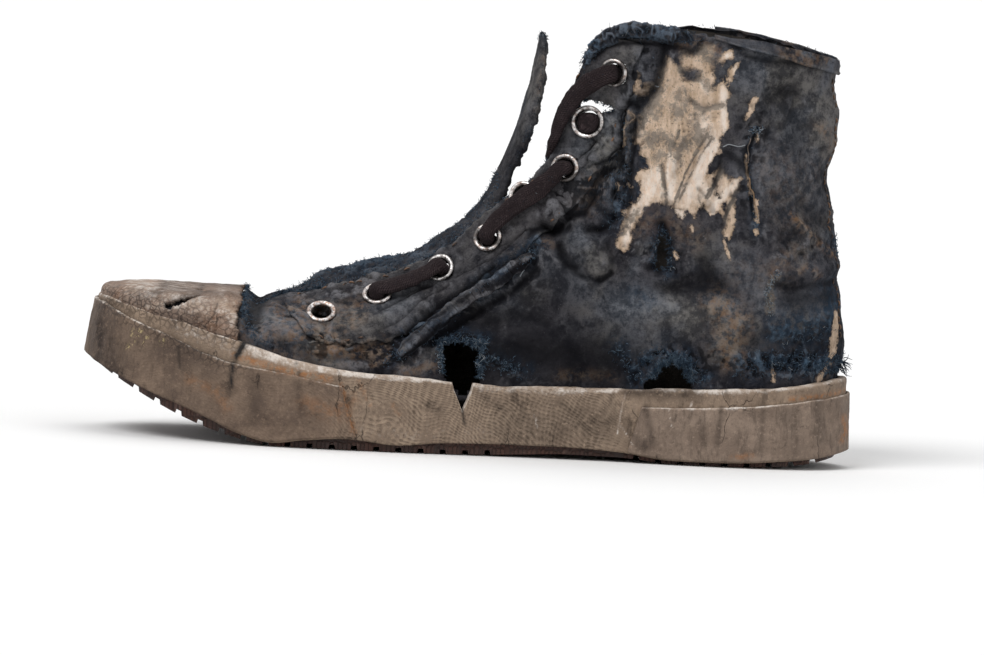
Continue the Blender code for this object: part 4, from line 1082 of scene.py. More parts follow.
def ring_round(side, face, count, wide=1.0, high=1.0):
    """Directions out of a path, all the way round it, from its side and face directions."""
    across = np.cos(turns(count))[None, :, None] * side[:, None] * wide
    return across + np.sin(turns(count))[None, :, None] * face[:, None] * high


def arc_lengths(points, axis):
    """Distance run along each line of points."""
    steps = np.linalg.norm(np.diff(points, axis=axis), axis=-1)
    start = np.zeros_like(np.take(steps, [0], axis=axis))
    return np.concatenate([start, np.cumsum(steps, axis=axis)], axis=axis)


RIB_STEPS = 60


def rib_lengths(u):
    """How far it is up the upper, from the sidewall's upper edge to the opening's, at each u."""
    ribs = skin(np.repeat(u[:, None], RIB_STEPS, 1), np.linspace(0, 1, RIB_STEPS))
    return arc_lengths(ribs, 1)[:, -1]


def cloth_directions(points):
    """Place on the flat cloth, in millimetres across and along, for its weave."""
    across = np.broadcast_to(arc_lengths(points, 0)[:, points.shape[1] // 2, None], points.shape[:2])
    return np.stack([across, arc_lengths(points, 1), 0 * across], -1)


# ---------------------------------------------------------------- threads

THREAD_STEPS = 4
THREAD_SIDES = 3


THREAD_DROOP = 0.12
THREAD_THICK = 0.16
WHITE_SHARE = 0.02


def threads(
    name,
    roots,
    heads,
    length,
    thick=THREAD_THICK,
    curl=0.55,
    blue=0.5,
    seed=0,
    white=WHITE_SHARE,
):
    """Loose threads from these roots, as one mesh: curled, tapered and drooping."""
    draw = np.random.default_rng(seed)
    roots = np.asarray(roots, float).reshape(-1, 3)
    count = len(roots)
    size = np.broadcast_to(length, count) * draw.uniform(0.35, 1.0, count)
    head = unit(np.asarray(heads, float).reshape(-1, 3) + 0.35 * draw.normal(size=(count, 3)))
    path = [roots]
    for _ in range(THREAD_STEPS):
        head = unit(head + curl * draw.normal(size=(count, 3)) - np.array([0, 0, THREAD_DROOP]))
        path.append(path[-1] + head * (size / THREAD_STEPS)[:, None])
    path = np.stack(path, 1)
    ahead = unit(np.gradient(path, axis=1))
    side = unit(np.cross(ahead, draw.normal(size=(count, 1, 3))))
    other = np.cross(ahead, side)
    radius = thick * draw.uniform(0.6, 1.3, (count, 1)) * np.linspace(1, 0.35, THREAD_STEPS + 1)
    turn = turns(THREAD_SIDES)
    points = (
        path[:, :, None]
        + (np.cos(turn)[:, None] * side[:, :, None] + np.sin(turn)[:, None] * other[:, :, None])
        * radius[..., None, None]
    )
    ring = grid_faces(THREAD_STEPS + 1, THREAD_SIDES, closed=True)[:, ::-1]
    per_thread = (THREAD_STEPS + 1) * THREAD_SIDES
    starts = np.arange(count)[:, None, None] * per_thread
    ends = np.array([[2, 1, 0], [per_thread - 3, per_thread - 2, per_thread - 1]])
    faces = (ring[None] + starts).reshape(-1, 4).tolist()
    faces += (ends[None] + starts).reshape(-1, 3).tolist()
    tint = np.clip(np.broadcast_to(blue, count) + draw.uniform(-0.35, 0.35, count), 0, 1)
    pale = 0.8 * (draw.uniform(size=count) < white)
    layers = {"tint": np.repeat(tint, per_thread), "pale": np.repeat(pale, per_thread)}
    return piece(name, points, faces, fray, layers=layers)


# ---------------------------------------------------------------- finishes


class Reading:
    """A number that a finish works out at each spot, such as a noise or one of a piece's layers."""

    def __init__(self, finish, socket):
        self.finish = finish
        self.socket = socket

    def __add__(self, other):
        return self.finish.math("ADD", self, other)

    def __radd__(self, other):
        return self.finish.math("ADD", other, self)

    def __sub__(self, other):
        return self.finish.math("SUBTRACT", self, other)

    def __rsub__(self, other):
        return self.finish.math("SUBTRACT", other, self)

    def __mul__(self, other):
        return self.finish.math("MULTIPLY", self, other)


class Finish:
    """A material, built node by node. Its patterns are measured in millimetres."""

    def __init__(self, name, roughness=0.9, metallic=0.0, sheen=0.0, shine=0.5):
        self.material = bpy.data.materials.new(name)
        self.material.use_nodes = True
        self.tree = self.material.node_tree
        self.shader = self.tree.nodes["Principled BSDF"]
        self.shader.inputs["Roughness"].default_value = roughness
        self.shader.inputs["Metallic"].default_value = metallic
        self.shader.inputs["Sheen Weight"].default_value = sheen
        self.shader.inputs["Sheen Roughness"].default_value = 0.6
        self.shader.inputs["Specular IOR Level"].default_value = shine
        place = self.add("TexCoord").outputs["Object"]
        self.colour = None
        self.where = self.add("Mapping", {"Vector": place, "Scale": (1 / MM,) * 3}).outputs["Vector"]

    def add(self, kind, inputs=None, **settings):
        node = self.tree.nodes.new("ShaderNode" + kind)
        for name, value in settings.items():
            setattr(node, name, value)
        for socket, value in (inputs or {}).items():
            self.feed(value, node.inputs[socket])
        return node

    def feed(self, value, socket):
        """Gives a socket its number, colour or link."""
        if isinstance(value, Reading):
            value = value.socket
        if isinstance(value, bpy.types.NodeSocket):
            self.tree.links.new(value, socket)
        else:
            socket.default_value = value

    def layer(self, name):
        """A piece's layer of numbers."""
        return Reading(self, self.add("Attribute", attribute_name=name).outputs["Fac"])

    def flat_cloth(self):
        """Place on the flat cloth, across and along it."""
        return self.parts(self.add("Attribute", attribute_name="weave").outputs["Vector"])

    def squashed(self, up, where=None, flat=1.0):
        """The place with its height, and its plan, scaled: patterns on it grow by the inverse."""
        inputs = {"Vector": where or self.where, "Scale": (flat, flat, up)}
        return self.add("Mapping", inputs).outputs["Vector"]

    def parts(self, place):
        """The x, y and z of a place."""
        return [Reading(self, socket) for socket in self.add("SeparateXYZ", {0: place}).outputs]

    def noise(self, size, detail=3.0, where=None, roughness=0.6, warp=0.0):
        inputs = {
            "Vector": where or self.where,
            "Scale": 1 / size,
            "Detail": detail,
            "Roughness": roughness,
            "Distortion": warp,
        }
        return Reading(self, self.add("TexNoise", inputs).outputs["Fac"])

    def cells(self, size, where, random=1.0):
        """Distance from the borders between scattered cells."""
        inputs = {"Vector": where, "Scale": 1 / size, "Randomness": random}
        return Reading(self, self.add("TexVoronoi", inputs, feature="DISTANCE_TO_EDGE").outputs["Distance"])

    def math(self, operation, a, b=0.0):
        return Reading(self, self.add("Math", {0: a, 1: b}, operation=operation).outputs[0])

    def fade(self, value, low, high, start=0.0, end=1.0):
        """A soft step from start to end as the value goes from low to high."""
        inputs = {"Value": value, "From Min": low, "From Max": high, "To Min": start, "To Max": end}
        node = self.add("MapRange", inputs, interpolation_type="SMOOTHSTEP")
        return Reading(self, node.outputs["Result"])

    def mix(self, share, a, b):
        """A colour between a and b."""
        node = self.add("Mix", {0: share}, data_type="RGBA")
        for socket, value in ((6, a), (7, b)):
            self.feed((*value, 1) if isinstance(value, tuple) else value, node.inputs[socket])
        return node.outputs[2]

    def warped(self, size, amount, where=None):
        """The place, pushed about by noise, for cracks and ragged edges."""
        where = where or self.where
        push = self.add("TexNoise", {"Vector": where, "Scale": 1 / size, "Detail": 2.0}).outputs["Color"]
        centred = self.add("VectorMath", {0: push, 1: (0.5, 0.5, 0.5)}, operation="SUBTRACT").outputs[0]
        scaled = self.add("VectorMath", {0: centred, "Scale": amount}, operation="SCALE").outputs[0]
        return self.add("VectorMath", {0: where, 1: scaled}, operation="ADD").outputs[0]

    def ribs(self, reading, pitch):
        """A wave from -1 to 1 that repeats at this pitch."""
        return self.math("SINE", reading * (2 * math.pi / pitch))

    def weave(self, across, along):
        """Height of a plain weave, 0 to 1, with threads this far apart."""
        x, y, _ = self.flat_cloth()
        return self.fade(self.ribs(x, across) * self.ribs(y, along), -1.0, 1.0)

    def coat(self, share, colour):
        """Covers this share of the finish with another colour."""
        self.colour = self.mix(share, self.colour, colour)

    def done(self, bump=None, depth=0.2, roughness=None):
        """The material, with its coats of colour, its bumps of this depth, and its roughness."""
        self.feed(self.colour, self.shader.inputs["Base Color"])
        if roughness is not None:
            self.feed(roughness, self.shader.inputs["Roughness"])
        if bump is not None:
            node = self.add("Bump", {"Height": bump, "Distance": depth * MM, "Strength": 1.0})
            self.feed(node.outputs["Normal"], self.shader.inputs["Normal"])
        return self.material


CANVAS_PITCH = (0.62, 0.7)
LINING_PITCH = (0.8, 0.8)
INSOLE_PITCH = (1.1, 1.1)
LACE_RIB = 1.0
LACE_STRAND = 0.9
OUTSOLE_MESH = 1.7


def worn_canvas(name, dark, light, bare=True):
    """Blackened canvas: dusty, stained, and flaked to a tan ground where its bare layer says so, with
    painted highlights on its fold tops and painted shade in its hollows and creases.
    """
    f = Finish(name, roughness=0.95, shine=0.12)
    cloud = f.noise(19, 6, roughness=0.62, warp=0.5)
    mottle = f.noise(4.6, 5, roughness=0.68)
    speck = f.noise(1.5, 4, roughness=0.75)
    grain = f.noise(0.62, 2)
    relief = f.layer("relief")
    tone = cloud * 0.55 + mottle * 0.35 + speck * 0.1
    f.colour = f.mix(f.fade(tone, 0.41, 0.61), dark, light)
    dusty = f.fade(mottle * 0.6 + cloud * 0.25 + speck * 0.15, 0.41, 0.59)
    # The dust layer is partly a painted highlight, on fold ridges, rolled edges and the hem's cord
    dust_and_highlight = f.layer("dust_and_highlight") * (0.45 + dusty * 0.5)
    cool = f.mix(dusty, (0.108, 0.124, 0.148), (0.218, 0.228, 0.252))
    warm = f.mix(dusty, (0.128, 0.12, 0.112), (0.262, 0.244, 0.218))
    f.coat(dust_and_highlight, f.mix(f.fade(f.noise(26, 3), 0.44, 0.6, 0.0, 0.8), cool, warm))
    blue = f.layer("blue") * f.fade(f.noise(2.6, 4, roughness=0.7), 0.36, 0.62)
    f.coat(blue * 0.9, (0.022, 0.043, 0.073))
    # Painted highlight: lighter grey or blue on the tops of folds and matted clumps
    lit_fold_tops = f.fade(relief, 0.52, 0.9) * f.fade(speck, 0.38, 0.58, 0.4, 1.0)
    fold_top_highlight = f.mix(f.layer("blue"), (0.19, 0.188, 0.203), (0.096, 0.158, 0.232))
    f.coat(lit_fold_tops * 0.8, fold_top_highlight)
    earth = f.layer("earth") * f.fade(mottle * 0.4 + f.noise(2.6, 6) * 0.6, 0.43, 0.58)
    brown = f.mix(f.fade(f.noise(5, 3), 0.35, 0.65), (0.25, 0.135, 0.066), (0.34, 0.25, 0.18))
    f.coat(earth * 0.8, brown)
    lint = f.fade(grain, 0.6, 0.78) * f.fade(speck, 0.42, 0.6, 0.2, 1.0)
    f.coat(lint * 0.5, (0.225, 0.22, 0.23))
    black = (0.003, 0.003, 0.0045)
    f.coat(f.fade(speck, 0.44, 0.3, 0.0, 0.35), black)
    f.coat(f.fade(grain, 0.46, 0.3, 0.0, 0.3), black)
    # Painted shade: black in the relief's hollows and along the shade layer
    shaded_hollows = f.fade(relief, 0.36, 0.05)
    shade = f.layer("shade") * f.fade(mottle, 0.2, 0.6, 0.75, 1.0)
    shade = f.math("MAXIMUM", shade, shaded_hollows * 0.8)
    f.coat(shade, black)
    height = f.weave(*CANVAS_PITCH) * 0.25 + grain * 0.4 + speck * 0.8 + mottle * 0.9
    roughness = None
    if bare:
        ragged = f.noise(2.4, 6, roughness=0.8) * 0.55 + f.noise(9, 2) * 0.25
        veil = f.layer("veil") + (speck - 0.5) * 1.3 + (mottle - 0.5) * 1.6
        soft = f.layer("veil") * 0.2
        level = f.layer("bare") + (ragged - 0.4)
        patch = f.fade(level, 0.455 - soft * 0.9, 0.525 + soft)
        inside = f.fade(level, 0.5, 0.64)
        clean = f.fade(f.layer("clean") + (mottle - 0.5) * 1.1, 0.2, 0.8)
        brush = f.noise(1.8, 5, f.squashed(0.3), 0.7)
        ground = f.fade(brush * 0.6 + mottle * 0.4, 0.36, 0.62)
        tan = f.mix(ground, (0.54, 0.39, 0.27), (0.83, 0.64, 0.49))
        pale = f.mix(f.fade(brush, 0.35, 0.6), (0.92, 0.71, 0.55), (1.0, 0.87, 0.76))
        tan = f.mix(clean * (0.75 + inside * 0.25), tan, pale)
        tan = f.mix(f.fade(inside, 1.0, 0.0, 0.0, 0.15), tan, (0.4, 0.27, 0.17))
        grey_veil = f.mix(dusty, (0.09, 0.084, 0.076), (0.34, 0.285, 0.235))
        tan = f.mix(f.fade(veil, 0.3, 0.7, 0.0, 0.95), tan, grey_veil)
        tan = f.mix(f.fade(speck + clean * 0.06, 0.44, 0.34, 0.0, 0.75), tan, (0.13, 0.1, 0.08))
        tan = f.mix(f.fade(grain, 0.56, 0.75, 0.0, 0.3), tan, (0.17, 0.135, 0.11))
        # The painted shade covers the bare ground as well
        tan = f.mix(shade * 0.85, tan, (0.03, 0.026, 0.025))
        f.coat(patch, tan)
        height = height - patch * 0.7
        roughness = f.fade(patch, 0, 1, 0.95, 0.8)
    return f.done(height, 0.62, roughness)


def thread_finish():
    f = Finish("frayed_thread", roughness=0.9, shine=0.15)
    tint = f.layer("tint")
    f.colour = f.mix(tint, (0.012, 0.012, 0.017), (0.029, 0.053, 0.086))
    f.coat(tint * f.fade(f.noise(2.4, 2), 0.4, 0.56), (0.1, 0.145, 0.195))
    f.coat(f.layer("tan"), (0.33, 0.22, 0.135))
    f.coat(f.layer("pale"), (0.34, 0.37, 0.4))
    return f.done()


def tan_thread_finish():
    f = Finish("waxed_stitch_thread", roughness=0.7)
    f.colour = f.mix(f.fade(f.noise(3, 3), 0.35, 0.65), (0.02, 0.014, 0.012), (0.19, 0.1, 0.055))
    twist = f.noise(0.5, 1)
    return f.done(twist, 0.1)


def dirty_rubber(name, pale, mid, grime):
    """Old vulcanised rubber: chalky on worn edges, with a painted highlight there too, netted with fine
    lines, streaked with grime.
    """
    f = Finish(name, roughness=0.72, shine=0.3)
    cloud = f.noise(20, 6, roughness=0.68, warp=0.5)
    blotch = f.noise(6.5, 6, roughness=0.74)
    speck = f.noise(1.6, 4, roughness=0.75)
    grain = f.noise(0.7, 3)
    f.colour = f.mix(f.fade(cloud * 0.6 + blotch * 0.4, 0.38, 0.62), mid, pale)
    f.coat(f.fade(blotch, 0.5, 0.72, 0.0, 0.7), grime)
    dark = tuple(c * 0.5 for c in grime)
    streaks = f.noise(2.6, 4, f.squashed(0.2, f.warped(9, 3.0)), 0.7)
    f.coat(f.layer("streak") * f.fade(streaks, 0.47, 0.75, 0.0, 0.7), dark)
    # the net: wavy ridges that run nearly level, crossed by steeper breaks
    along, _, rise = f.parts(f.warped(2.6, 1.1, f.warped(34, 26.0)))
    ridges = f.math("SINE", rise * (math.pi / 0.62) + along * (math.pi / 1.9))
    breaks = f.math("SINE", along * (math.pi / 1.05) - rise * (math.pi / 3.4))
    net = (ridges + breaks * 0.7) * 0.6
    netted = f.layer("crazed") * f.fade(blotch * 0.6 + cloud * 0.4, 0.36, 0.56)
    lines = netted * f.fade(net, 0.0, -0.7)
    dots = netted * f.fade(net, 0.35, 0.9)
    f.coat(lines * 0.42, dark)
    f.coat(dots * 0.28, (0.5, 0.39, 0.29))
    cracks = f.cells(21, f.warped(4, 6.0, f.squashed(0.7, flat=1.3)))
    cracked = f.fade(f.noise(16, 2), 0.53, 0.64) * f.fade(cracks, 0.01, 0.0)
    f.coat(cracked * 0.7, (0.03, 0.022, 0.018))
    # Pale along the top edges and pale marks: worn chalk, and along the top edges partly a painted
    # highlight
    edge = f.fade(f.layer("pale_edge") + (speck - 0.5) * 1.1, 0.25, 0.75)
    chalk_and_highlight = f.mix(f.fade(blotch, 0.4, 0.58), (0.84, 0.76, 0.69), (0.46, 0.36, 0.285))
    f.coat(edge * 0.9, chalk_and_highlight)
    crackle = f.fade(f.cells(2.7, f.warped(2.2, 1.6)), 0.16, 0.03)
    f.coat(f.layer("crackle") * crackle * 0.75, dark)
    rust = f.layer("rust") * f.fade(f.noise(2.0, 4), 0.36, 0.6)
    f.coat(rust * 0.9, (0.4, 0.17, 0.06))
    soot = f.layer("soot") * f.fade(blotch, 0.3, 0.6, 0.35, 1.0)
    f.coat(soot, (0.024, 0.015, 0.012))
    f.coat(f.layer("specks") * f.fade(speck, 0.5, 0.6), (0.75, 0.6, 0.3))
    f.coat(f.fade(speck, 0.56, 0.74, 0.0, 0.5), dark)
    f.coat(f.fade(speck, 0.45, 0.34, 0.0, 0.3), tuple(min(1, c * 1.5) for c in pale))
    f.coat(f.fade(grain, 0.58, 0.8, 0.0, 0.4), dark)
    f.coat(f.layer("split"), (0.012, 0.009, 0.008))
    height = grain * 0.4 + speck * 0.5 + blotch * 0.7 - lines * 0.5 - cracked * 1.2
    return f.done(height, 0.45, f.fade(blotch, 0.3, 0.7, 0.62, 0.85))


def metal_finish():
    f = Finish("worn_nickel", roughness=0.3, metallic=1.0)
    dull = f.noise(1.6, 4)
    rust = f.layer("rust") * f.fade(f.noise(1.4, 4), 0.42, 0.6)
    f.colour = f.mix(f.fade(dull, 0.38, 0.66), (0.66, 0.64, 0.63), (0.22, 0.205, 0.2))
    f.coat(f.fade(f.noise(0.8, 3), 0.54, 0.68, 0.0, 0.85), (0.06, 0.05, 0.045))
    f.coat(rust, (0.24, 0.11, 0.05))
    grime = f.fade(f.layer("grime") + (dull - 0.5) * 1.2, 0.25, 0.75)
    f.coat(grime * 0.85, (0.05, 0.044, 0.042))
    return f.done(dull, 0.12, f.fade(dull, 0.35, 0.7, 0.3, 0.55))


def lace_finish():
    f = Finish("woven_lace", roughness=0.92, shine=0.15)
    across, along, _ = f.flat_cloth()
    rib = f.ribs(along + f.math("ABSOLUTE", across * 0.9), LACE_RIB)
    braid = f.fade(rib * 0.6 + f.ribs(across, LACE_STRAND) * 0.4, -1.0, 1.0)
    worn = f.fade(f.noise(6, 4), 0.42, 0.62)
    f.colour = f.mix(braid * (0.35 + worn * 0.65), (0.012, 0.008, 0.009), (0.052, 0.036, 0.038))
    f.coat(f.fade(f.noise(3, 4), 0.45, 0.75, 0.0, 0.6), (0.009, 0.007, 0.009))
    f.coat(f.fade(f.noise(0.7, 3), 0.55, 0.75, 0.0, 0.5), (0.11, 0.085, 0.085))
    matted = f.noise(1.1, 4, roughness=0.75)
    return f.done(braid * worn + matted * 1.6, 0.4)


def outsole_finish():
    f = Finish("red_brown_outsole", roughness=0.7)
    cloud = f.noise(14, 5)
    grain = f.noise(1.0, 3)
    # Kept darker than the rubber's own red-brown: painted shade, as the tread lies in shadow under the shoe
    f.colour = f.mix(f.fade(cloud, 0.35, 0.68), (0.045, 0.022, 0.018), (0.12, 0.06, 0.046))
    f.coat(f.fade(f.noise(5, 5), 0.52, 0.72, 0.0, 0.7), (0.2, 0.125, 0.105))
    f.coat(f.fade(grain, 0.55, 0.75, 0.0, 0.6), (0.03, 0.02, 0.018))
    mesh = f.cells(OUTSOLE_MESH, f.squashed(0.3), 0.25)
    f.coat(f.fade(mesh, 0.12, 0.02, 0.0, 0.6), (0.03, 0.018, 0.015))
    height = grain * 0.4 + f.fade(mesh, 0.02, 0.16)
    return f.done(height, 0.35, f.fade(cloud, 0.3, 0.7, 0.55, 0.85))


def lining_finish():
    f = Finish("grimy_lining", roughness=0.95, shine=0.15)
    cloud = f.noise(15, 5)
    grain = f.noise(0.8, 2)
    f.colour = f.mix(f.fade(cloud, 0.3, 0.7), (0.018, 0.016, 0.015), (0.07, 0.061, 0.053))
    f.coat(f.fade(f.noise(5, 4), 0.5, 0.75, 0.0, 0.7), (0.018, 0.017, 0.018))
    f.coat(f.fade(grain, 0.55, 0.8, 0.0, 0.4), (0.2, 0.18, 0.16))
    return f.done(f.weave(*LINING_PITCH) * 0.6 + grain, 0.3)


def insole_finish():
    f = Finish("trodden_insole", roughness=0.9)
    cloud = f.noise(20, 5)
    tread = f.layer("worn")
    f.colour = f.mix(f.fade(cloud, 0.3, 0.7), (0.03, 0.025, 0.021), (0.09, 0.072, 0.057))
    f.coat(tread * 0.75, (0.028, 0.024, 0.022))
    f.coat(f.fade(f.noise(2.4, 4), 0.58, 0.74, 0.0, 0.6), (0.22, 0.17, 0.13))
    return f.done(f.weave(*INSOLE_PITCH) + f.noise(1.5, 4), 0.35)


# ---------------------------------------------------------------- upper and lining

canvas = worn_canvas("worn_canvas", (0.014, 0.0135, 0.018), (0.066, 0.063, 0.072))
facing_cloth = worn_canvas("worn_facing", (0.017, 0.016, 0.020), (0.096, 0.091, 0.097), bare=False)
lining_cloth = lining_finish()
fray = thread_finish()

EDGE_JAG = 1.6  # how far the torn edges wander
EYELET_PUNCH = 4.7  # the cloth is cut away this far from each eyelet's middle
# Each hole's outline, how much wider the cloth has frayed, and how ragged its edge is
HOLES = {
    "outer": (
        (QUARTER_HOLE, 0.8, 0.9),
        (HEEL_HOLE, 0.3, 0.9),
        (ANKLE_SLIT, 0.0, 0.8),
        (EYELET_TEAR, 0.0, 0.35),
    ),
    "inner": (),
}


def cloth_layers(u, at, side, trough=0.0, relief=0.5):
    """Stains, marks and painted shade of one side's cloth, evened with the other side's along the heel and
    toe.
    """
    layers = {}
    for name in STAIN_AND_SHADE_TABLES[side]:
        layers[name] = evened(u, side, lambda key, name=name: stroke_strength(at, STAIN_AND_SHADE_TABLES[key][name]))
    layers["bare"] = bare_cloth(at, *BARE_TABLES[side])
    # Painted shade in the troughs of the creases
    layers["shade"] = np.maximum(layers["shade"], 0.75 * trough)
    layers["relief"] = relief + 0 * layers["bare"]
    return layers


def torn_away(at, points, side, grow=0.0):
    """True where the wall is torn or punched through."""
    ragged = rough(np.concatenate([at, 0 * at[..., :1]], -1), 2.2, 2, 31)
    gone = np.zeros(at.shape[:-1], bool)
    for outline, wide, rag in HOLES[side]:
        gone |= depth_inside(at, outline) + rag * ragged + wide + grow > 0
    for place in EYELETS[side]:
        gone |= np.linalg.norm(points - skin(*place), axis=-1) < EYELET_PUNCH
    for _ in range(2):  # a strip of cloth only one point wide goes as well
        gone[1:-1] |= gone[:-2] & gone[2:]
        gone[:, 1:-1] |= gone[:, :-2] & gone[:, 2:]
        gone[1:-1, 1:-1] |= gone[2:, :-2] & gone[:-2, 2:] | gone[:-2, :-2] & gone[2:, 2:]
    return gone


def ragged_levels(u, levels, seed):
    """Levels up each rib that stop at a torn, uneven edge."""
    length = rib_lengths(u)
    place = np.stack([u * 9.0, 0 * u, 0 * u], -1)
    jag = EDGE_JAG * (0.5 + 0.5 * rough(place, 3.0, 3, seed))
    return np.where(levels > 0, levels * (1 - jag / length)[:, None], levels)


def drop_faces(faces, gone):
    """The faces that touch no point that is gone."""
    return faces[~np.ravel(gone)[faces].any(1)]


HIDDEN_RUNGS = 5  # rows of points below the sidewall's upper edge


def make_wall(name, first, last, stations, rungs, seed, stands_for=()):
    """One side of the upper: the worn outer face with its torn edges turned in."""
    u = np.linspace(first, last, stations)
    levels = np.concatenate([np.linspace(-0.5, 0, HIDDEN_RUNGS)[:-1], np.linspace(0, 1, rungs)])
    v = ragged_levels(u, np.tile(levels, (stations, 1)), seed)
    us = np.repeat(u[:, None], v.shape[1], 1)
    side = side_of(u)
    height, trough, relief = crumple(us, v, side)
    points = over_skin(us, v, height)
    at = skin(us, v)[..., [0, 2]]
    gone = torn_away(at, points, side)
    faces = drop_faces(grid_faces(*v.shape), gone)
    layers = {**cloth_layers(us, at, side, trough, relief), "weave": cloth_directions(points)}
    wall = piece(name, points, faces, canvas, stands_for, layers)
    thicken(wall, UPPER_THICK, rim_only=True)
    return {"v": v, "points": points, "at": at, "gone": gone, "normal": skin_normal(us, v)}


outer_wall = make_wall("upper_outer", 0, HEEL_RIB, 520, 150, 5, ("upper",))
inner_wall = make_wall("upper_inner", HEEL_RIB, ROWS, 316, 96, 8)

LINING_STATIONS = 351
LINING_RUNGS = 48
LINING_TOP = 0.985
LINING_FRAY = 0.6  # the holes are this much wider in the lining


def make_lining():
    """The inside of the upper, a wall's thickness in."""
    u = np.linspace(0, ROWS, LINING_STATIONS)[:-1]
    hidden = np.linspace(-0.95, 0, HIDDEN_RUNGS)[:-1]
    levels = np.concatenate([hidden, np.linspace(0, LINING_TOP, LINING_RUNGS)])
    us, vs = np.meshgrid(u, levels, indexing="ij")
    points = np.empty((*us.shape, 3))
    gone = np.zeros(us.shape, bool)
    for side, rows in halves(u):
        here = us[rows], vs[rows]
        points[rows] = worn_point(*here, side, -UPPER_THICK)
        face = points[rows] + UPPER_THICK * skin_normal(*here)
        gone[rows] = torn_away(skin(*here)[..., [0, 2]], face, side, LINING_FRAY)
    count = us.shape[1]
    faces = grid_faces(*us.shape)
    last = (len(u) - 1) * count
    seam = np.array([(last + j, j, j + 1, last + j + 1) for j in range(count - 1)])
    faces = drop_faces(np.concatenate([faces, seam]), gone)[:, ::-1]
    piece("lining", points, faces, lining_cloth, layers={"weave": cloth_directions(points)})


make_lining()

# ---------------------------------------------------------------- eyestays, eyelets, laces


def eyestay_grid(rows, across):
    """(u, v) of the outer eyestay, row by row from the toe up, from its back to its front edge."""
    at = columns(EYESTAY, EYESTAY_COLUMNS)
    front = np.array([find_on_skin(x, z) for x, z in zip(at["front_x"], at["front_z"], strict=True)])
    back = np.array([find_on_skin(x, z) for x, z in zip(at["back_x"], at["back_z"], strict=True)])
    front[:, 1] = [min(v, v_from_edge(u, EYESTAY_INSET)) for u, v in front]
    front, back = smooth_path(front, rows), smooth_path(back, rows)
    share = np.linspace(0, 1, across)[:, None]
    return np.array([b + (f - b) * share for f, b in zip(front, back, strict=True)])


EYESTAY_ROWS = 240
EYESTAY_ACROSS = 34


def make_eyestay(side):
    """The facing that carries the eyelets: puckered, with dusty, fraying edges."""
    grid = eyestay_grid(EYESTAY_ROWS, EYESTAY_ACROSS)
    edge = np.linspace(0, 1, EYESTAY_ACROSS)
    run = np.arange(EYESTAY_ROWS) * 0.8
    lane = 5.0 if side == "outer" else 45.0  # so that the two facings' edges differ
    place = np.stack([run, lane + 0 * run, 0 * run], -1)
    middle = grid.mean(1, keepdims=True)
    grid = middle + (grid - middle) * (1 + 0.07 * rough(place, 5.0, 4, 17))[:, None, None]
    if side == "inner":
        grid = to_inner_side(grid)
    u, v = grid[..., 0], grid[..., 1]
    height, trough, relief = crumple(u, v, side)
    base = skin(u, v)
    pucker = 0.5 * rough(base, 5, 3, 23) + 0.4 * np.clip(rough(base, 9, 2, 27), 0, 1)
    points = over_skin(u, v, height + CURVED_GAP + np.maximum(pucker, -0.25))
    at = base[..., [0, 2]]
    layers = cloth_layers(u, at, side, trough, relief)
    layers["dust_and_highlight"] = np.maximum(layers["dust_and_highlight"], 0.6 * np.exp(-np.minimum(edge, 1 - edge) / 0.05))
    layers["weave"] = cloth_directions(points)
    if side == "inner":
        points, layers = points[:, ::-1], {k: a[:, ::-1] for k, a in layers.items()}
        at = at[:, ::-1]
    gone = torn_away(at, points, side)
    faces = drop_faces(grid_faces(*u.shape), gone)
    stay = piece(f"facing_{side}", points, faces, facing_cloth, (f"eyestay_{side}",), layers)
    thicken(stay, EYESTAY_THICK, outwards=True)
    return {"grid": grid, "v": v, "points": points, "at": at, "gone": gone, "normal": skin_normal(u, v)}


facings = {side: make_eyestay(side) for side in ("outer", "inner")}


def eyelet_frame(side, place):
    """Placement of an eyelet, with its Z axis out of the shoe."""
    at = worn_point(*place, side, EYELET_LIFT)
    turn = Vector(skin_normal(*place)).to_track_quat("Z", "Y")
    return Matrix.Translation(Vector(at) * MM) @ turn.to_matrix().to_4x4()


EYELET_RIM_SHOWN = 5.6  # the cloth has puckered over the rest of the rim
EYELET_ROUND = 40
EYELET_DEEP = 4.9
TORN_EYELET = 7  # this one's ring stands clear of the torn cloth, thin and wide
TORN_EYELET_RING = (4.7, 4.8, 6.5)  # radius of its hole, barrel and rim
EYELET_LEAN = {1: 12, 2: 10, 3: 6, 4: 3}  # degrees further towards the side
RUSTY_EYELET = 1


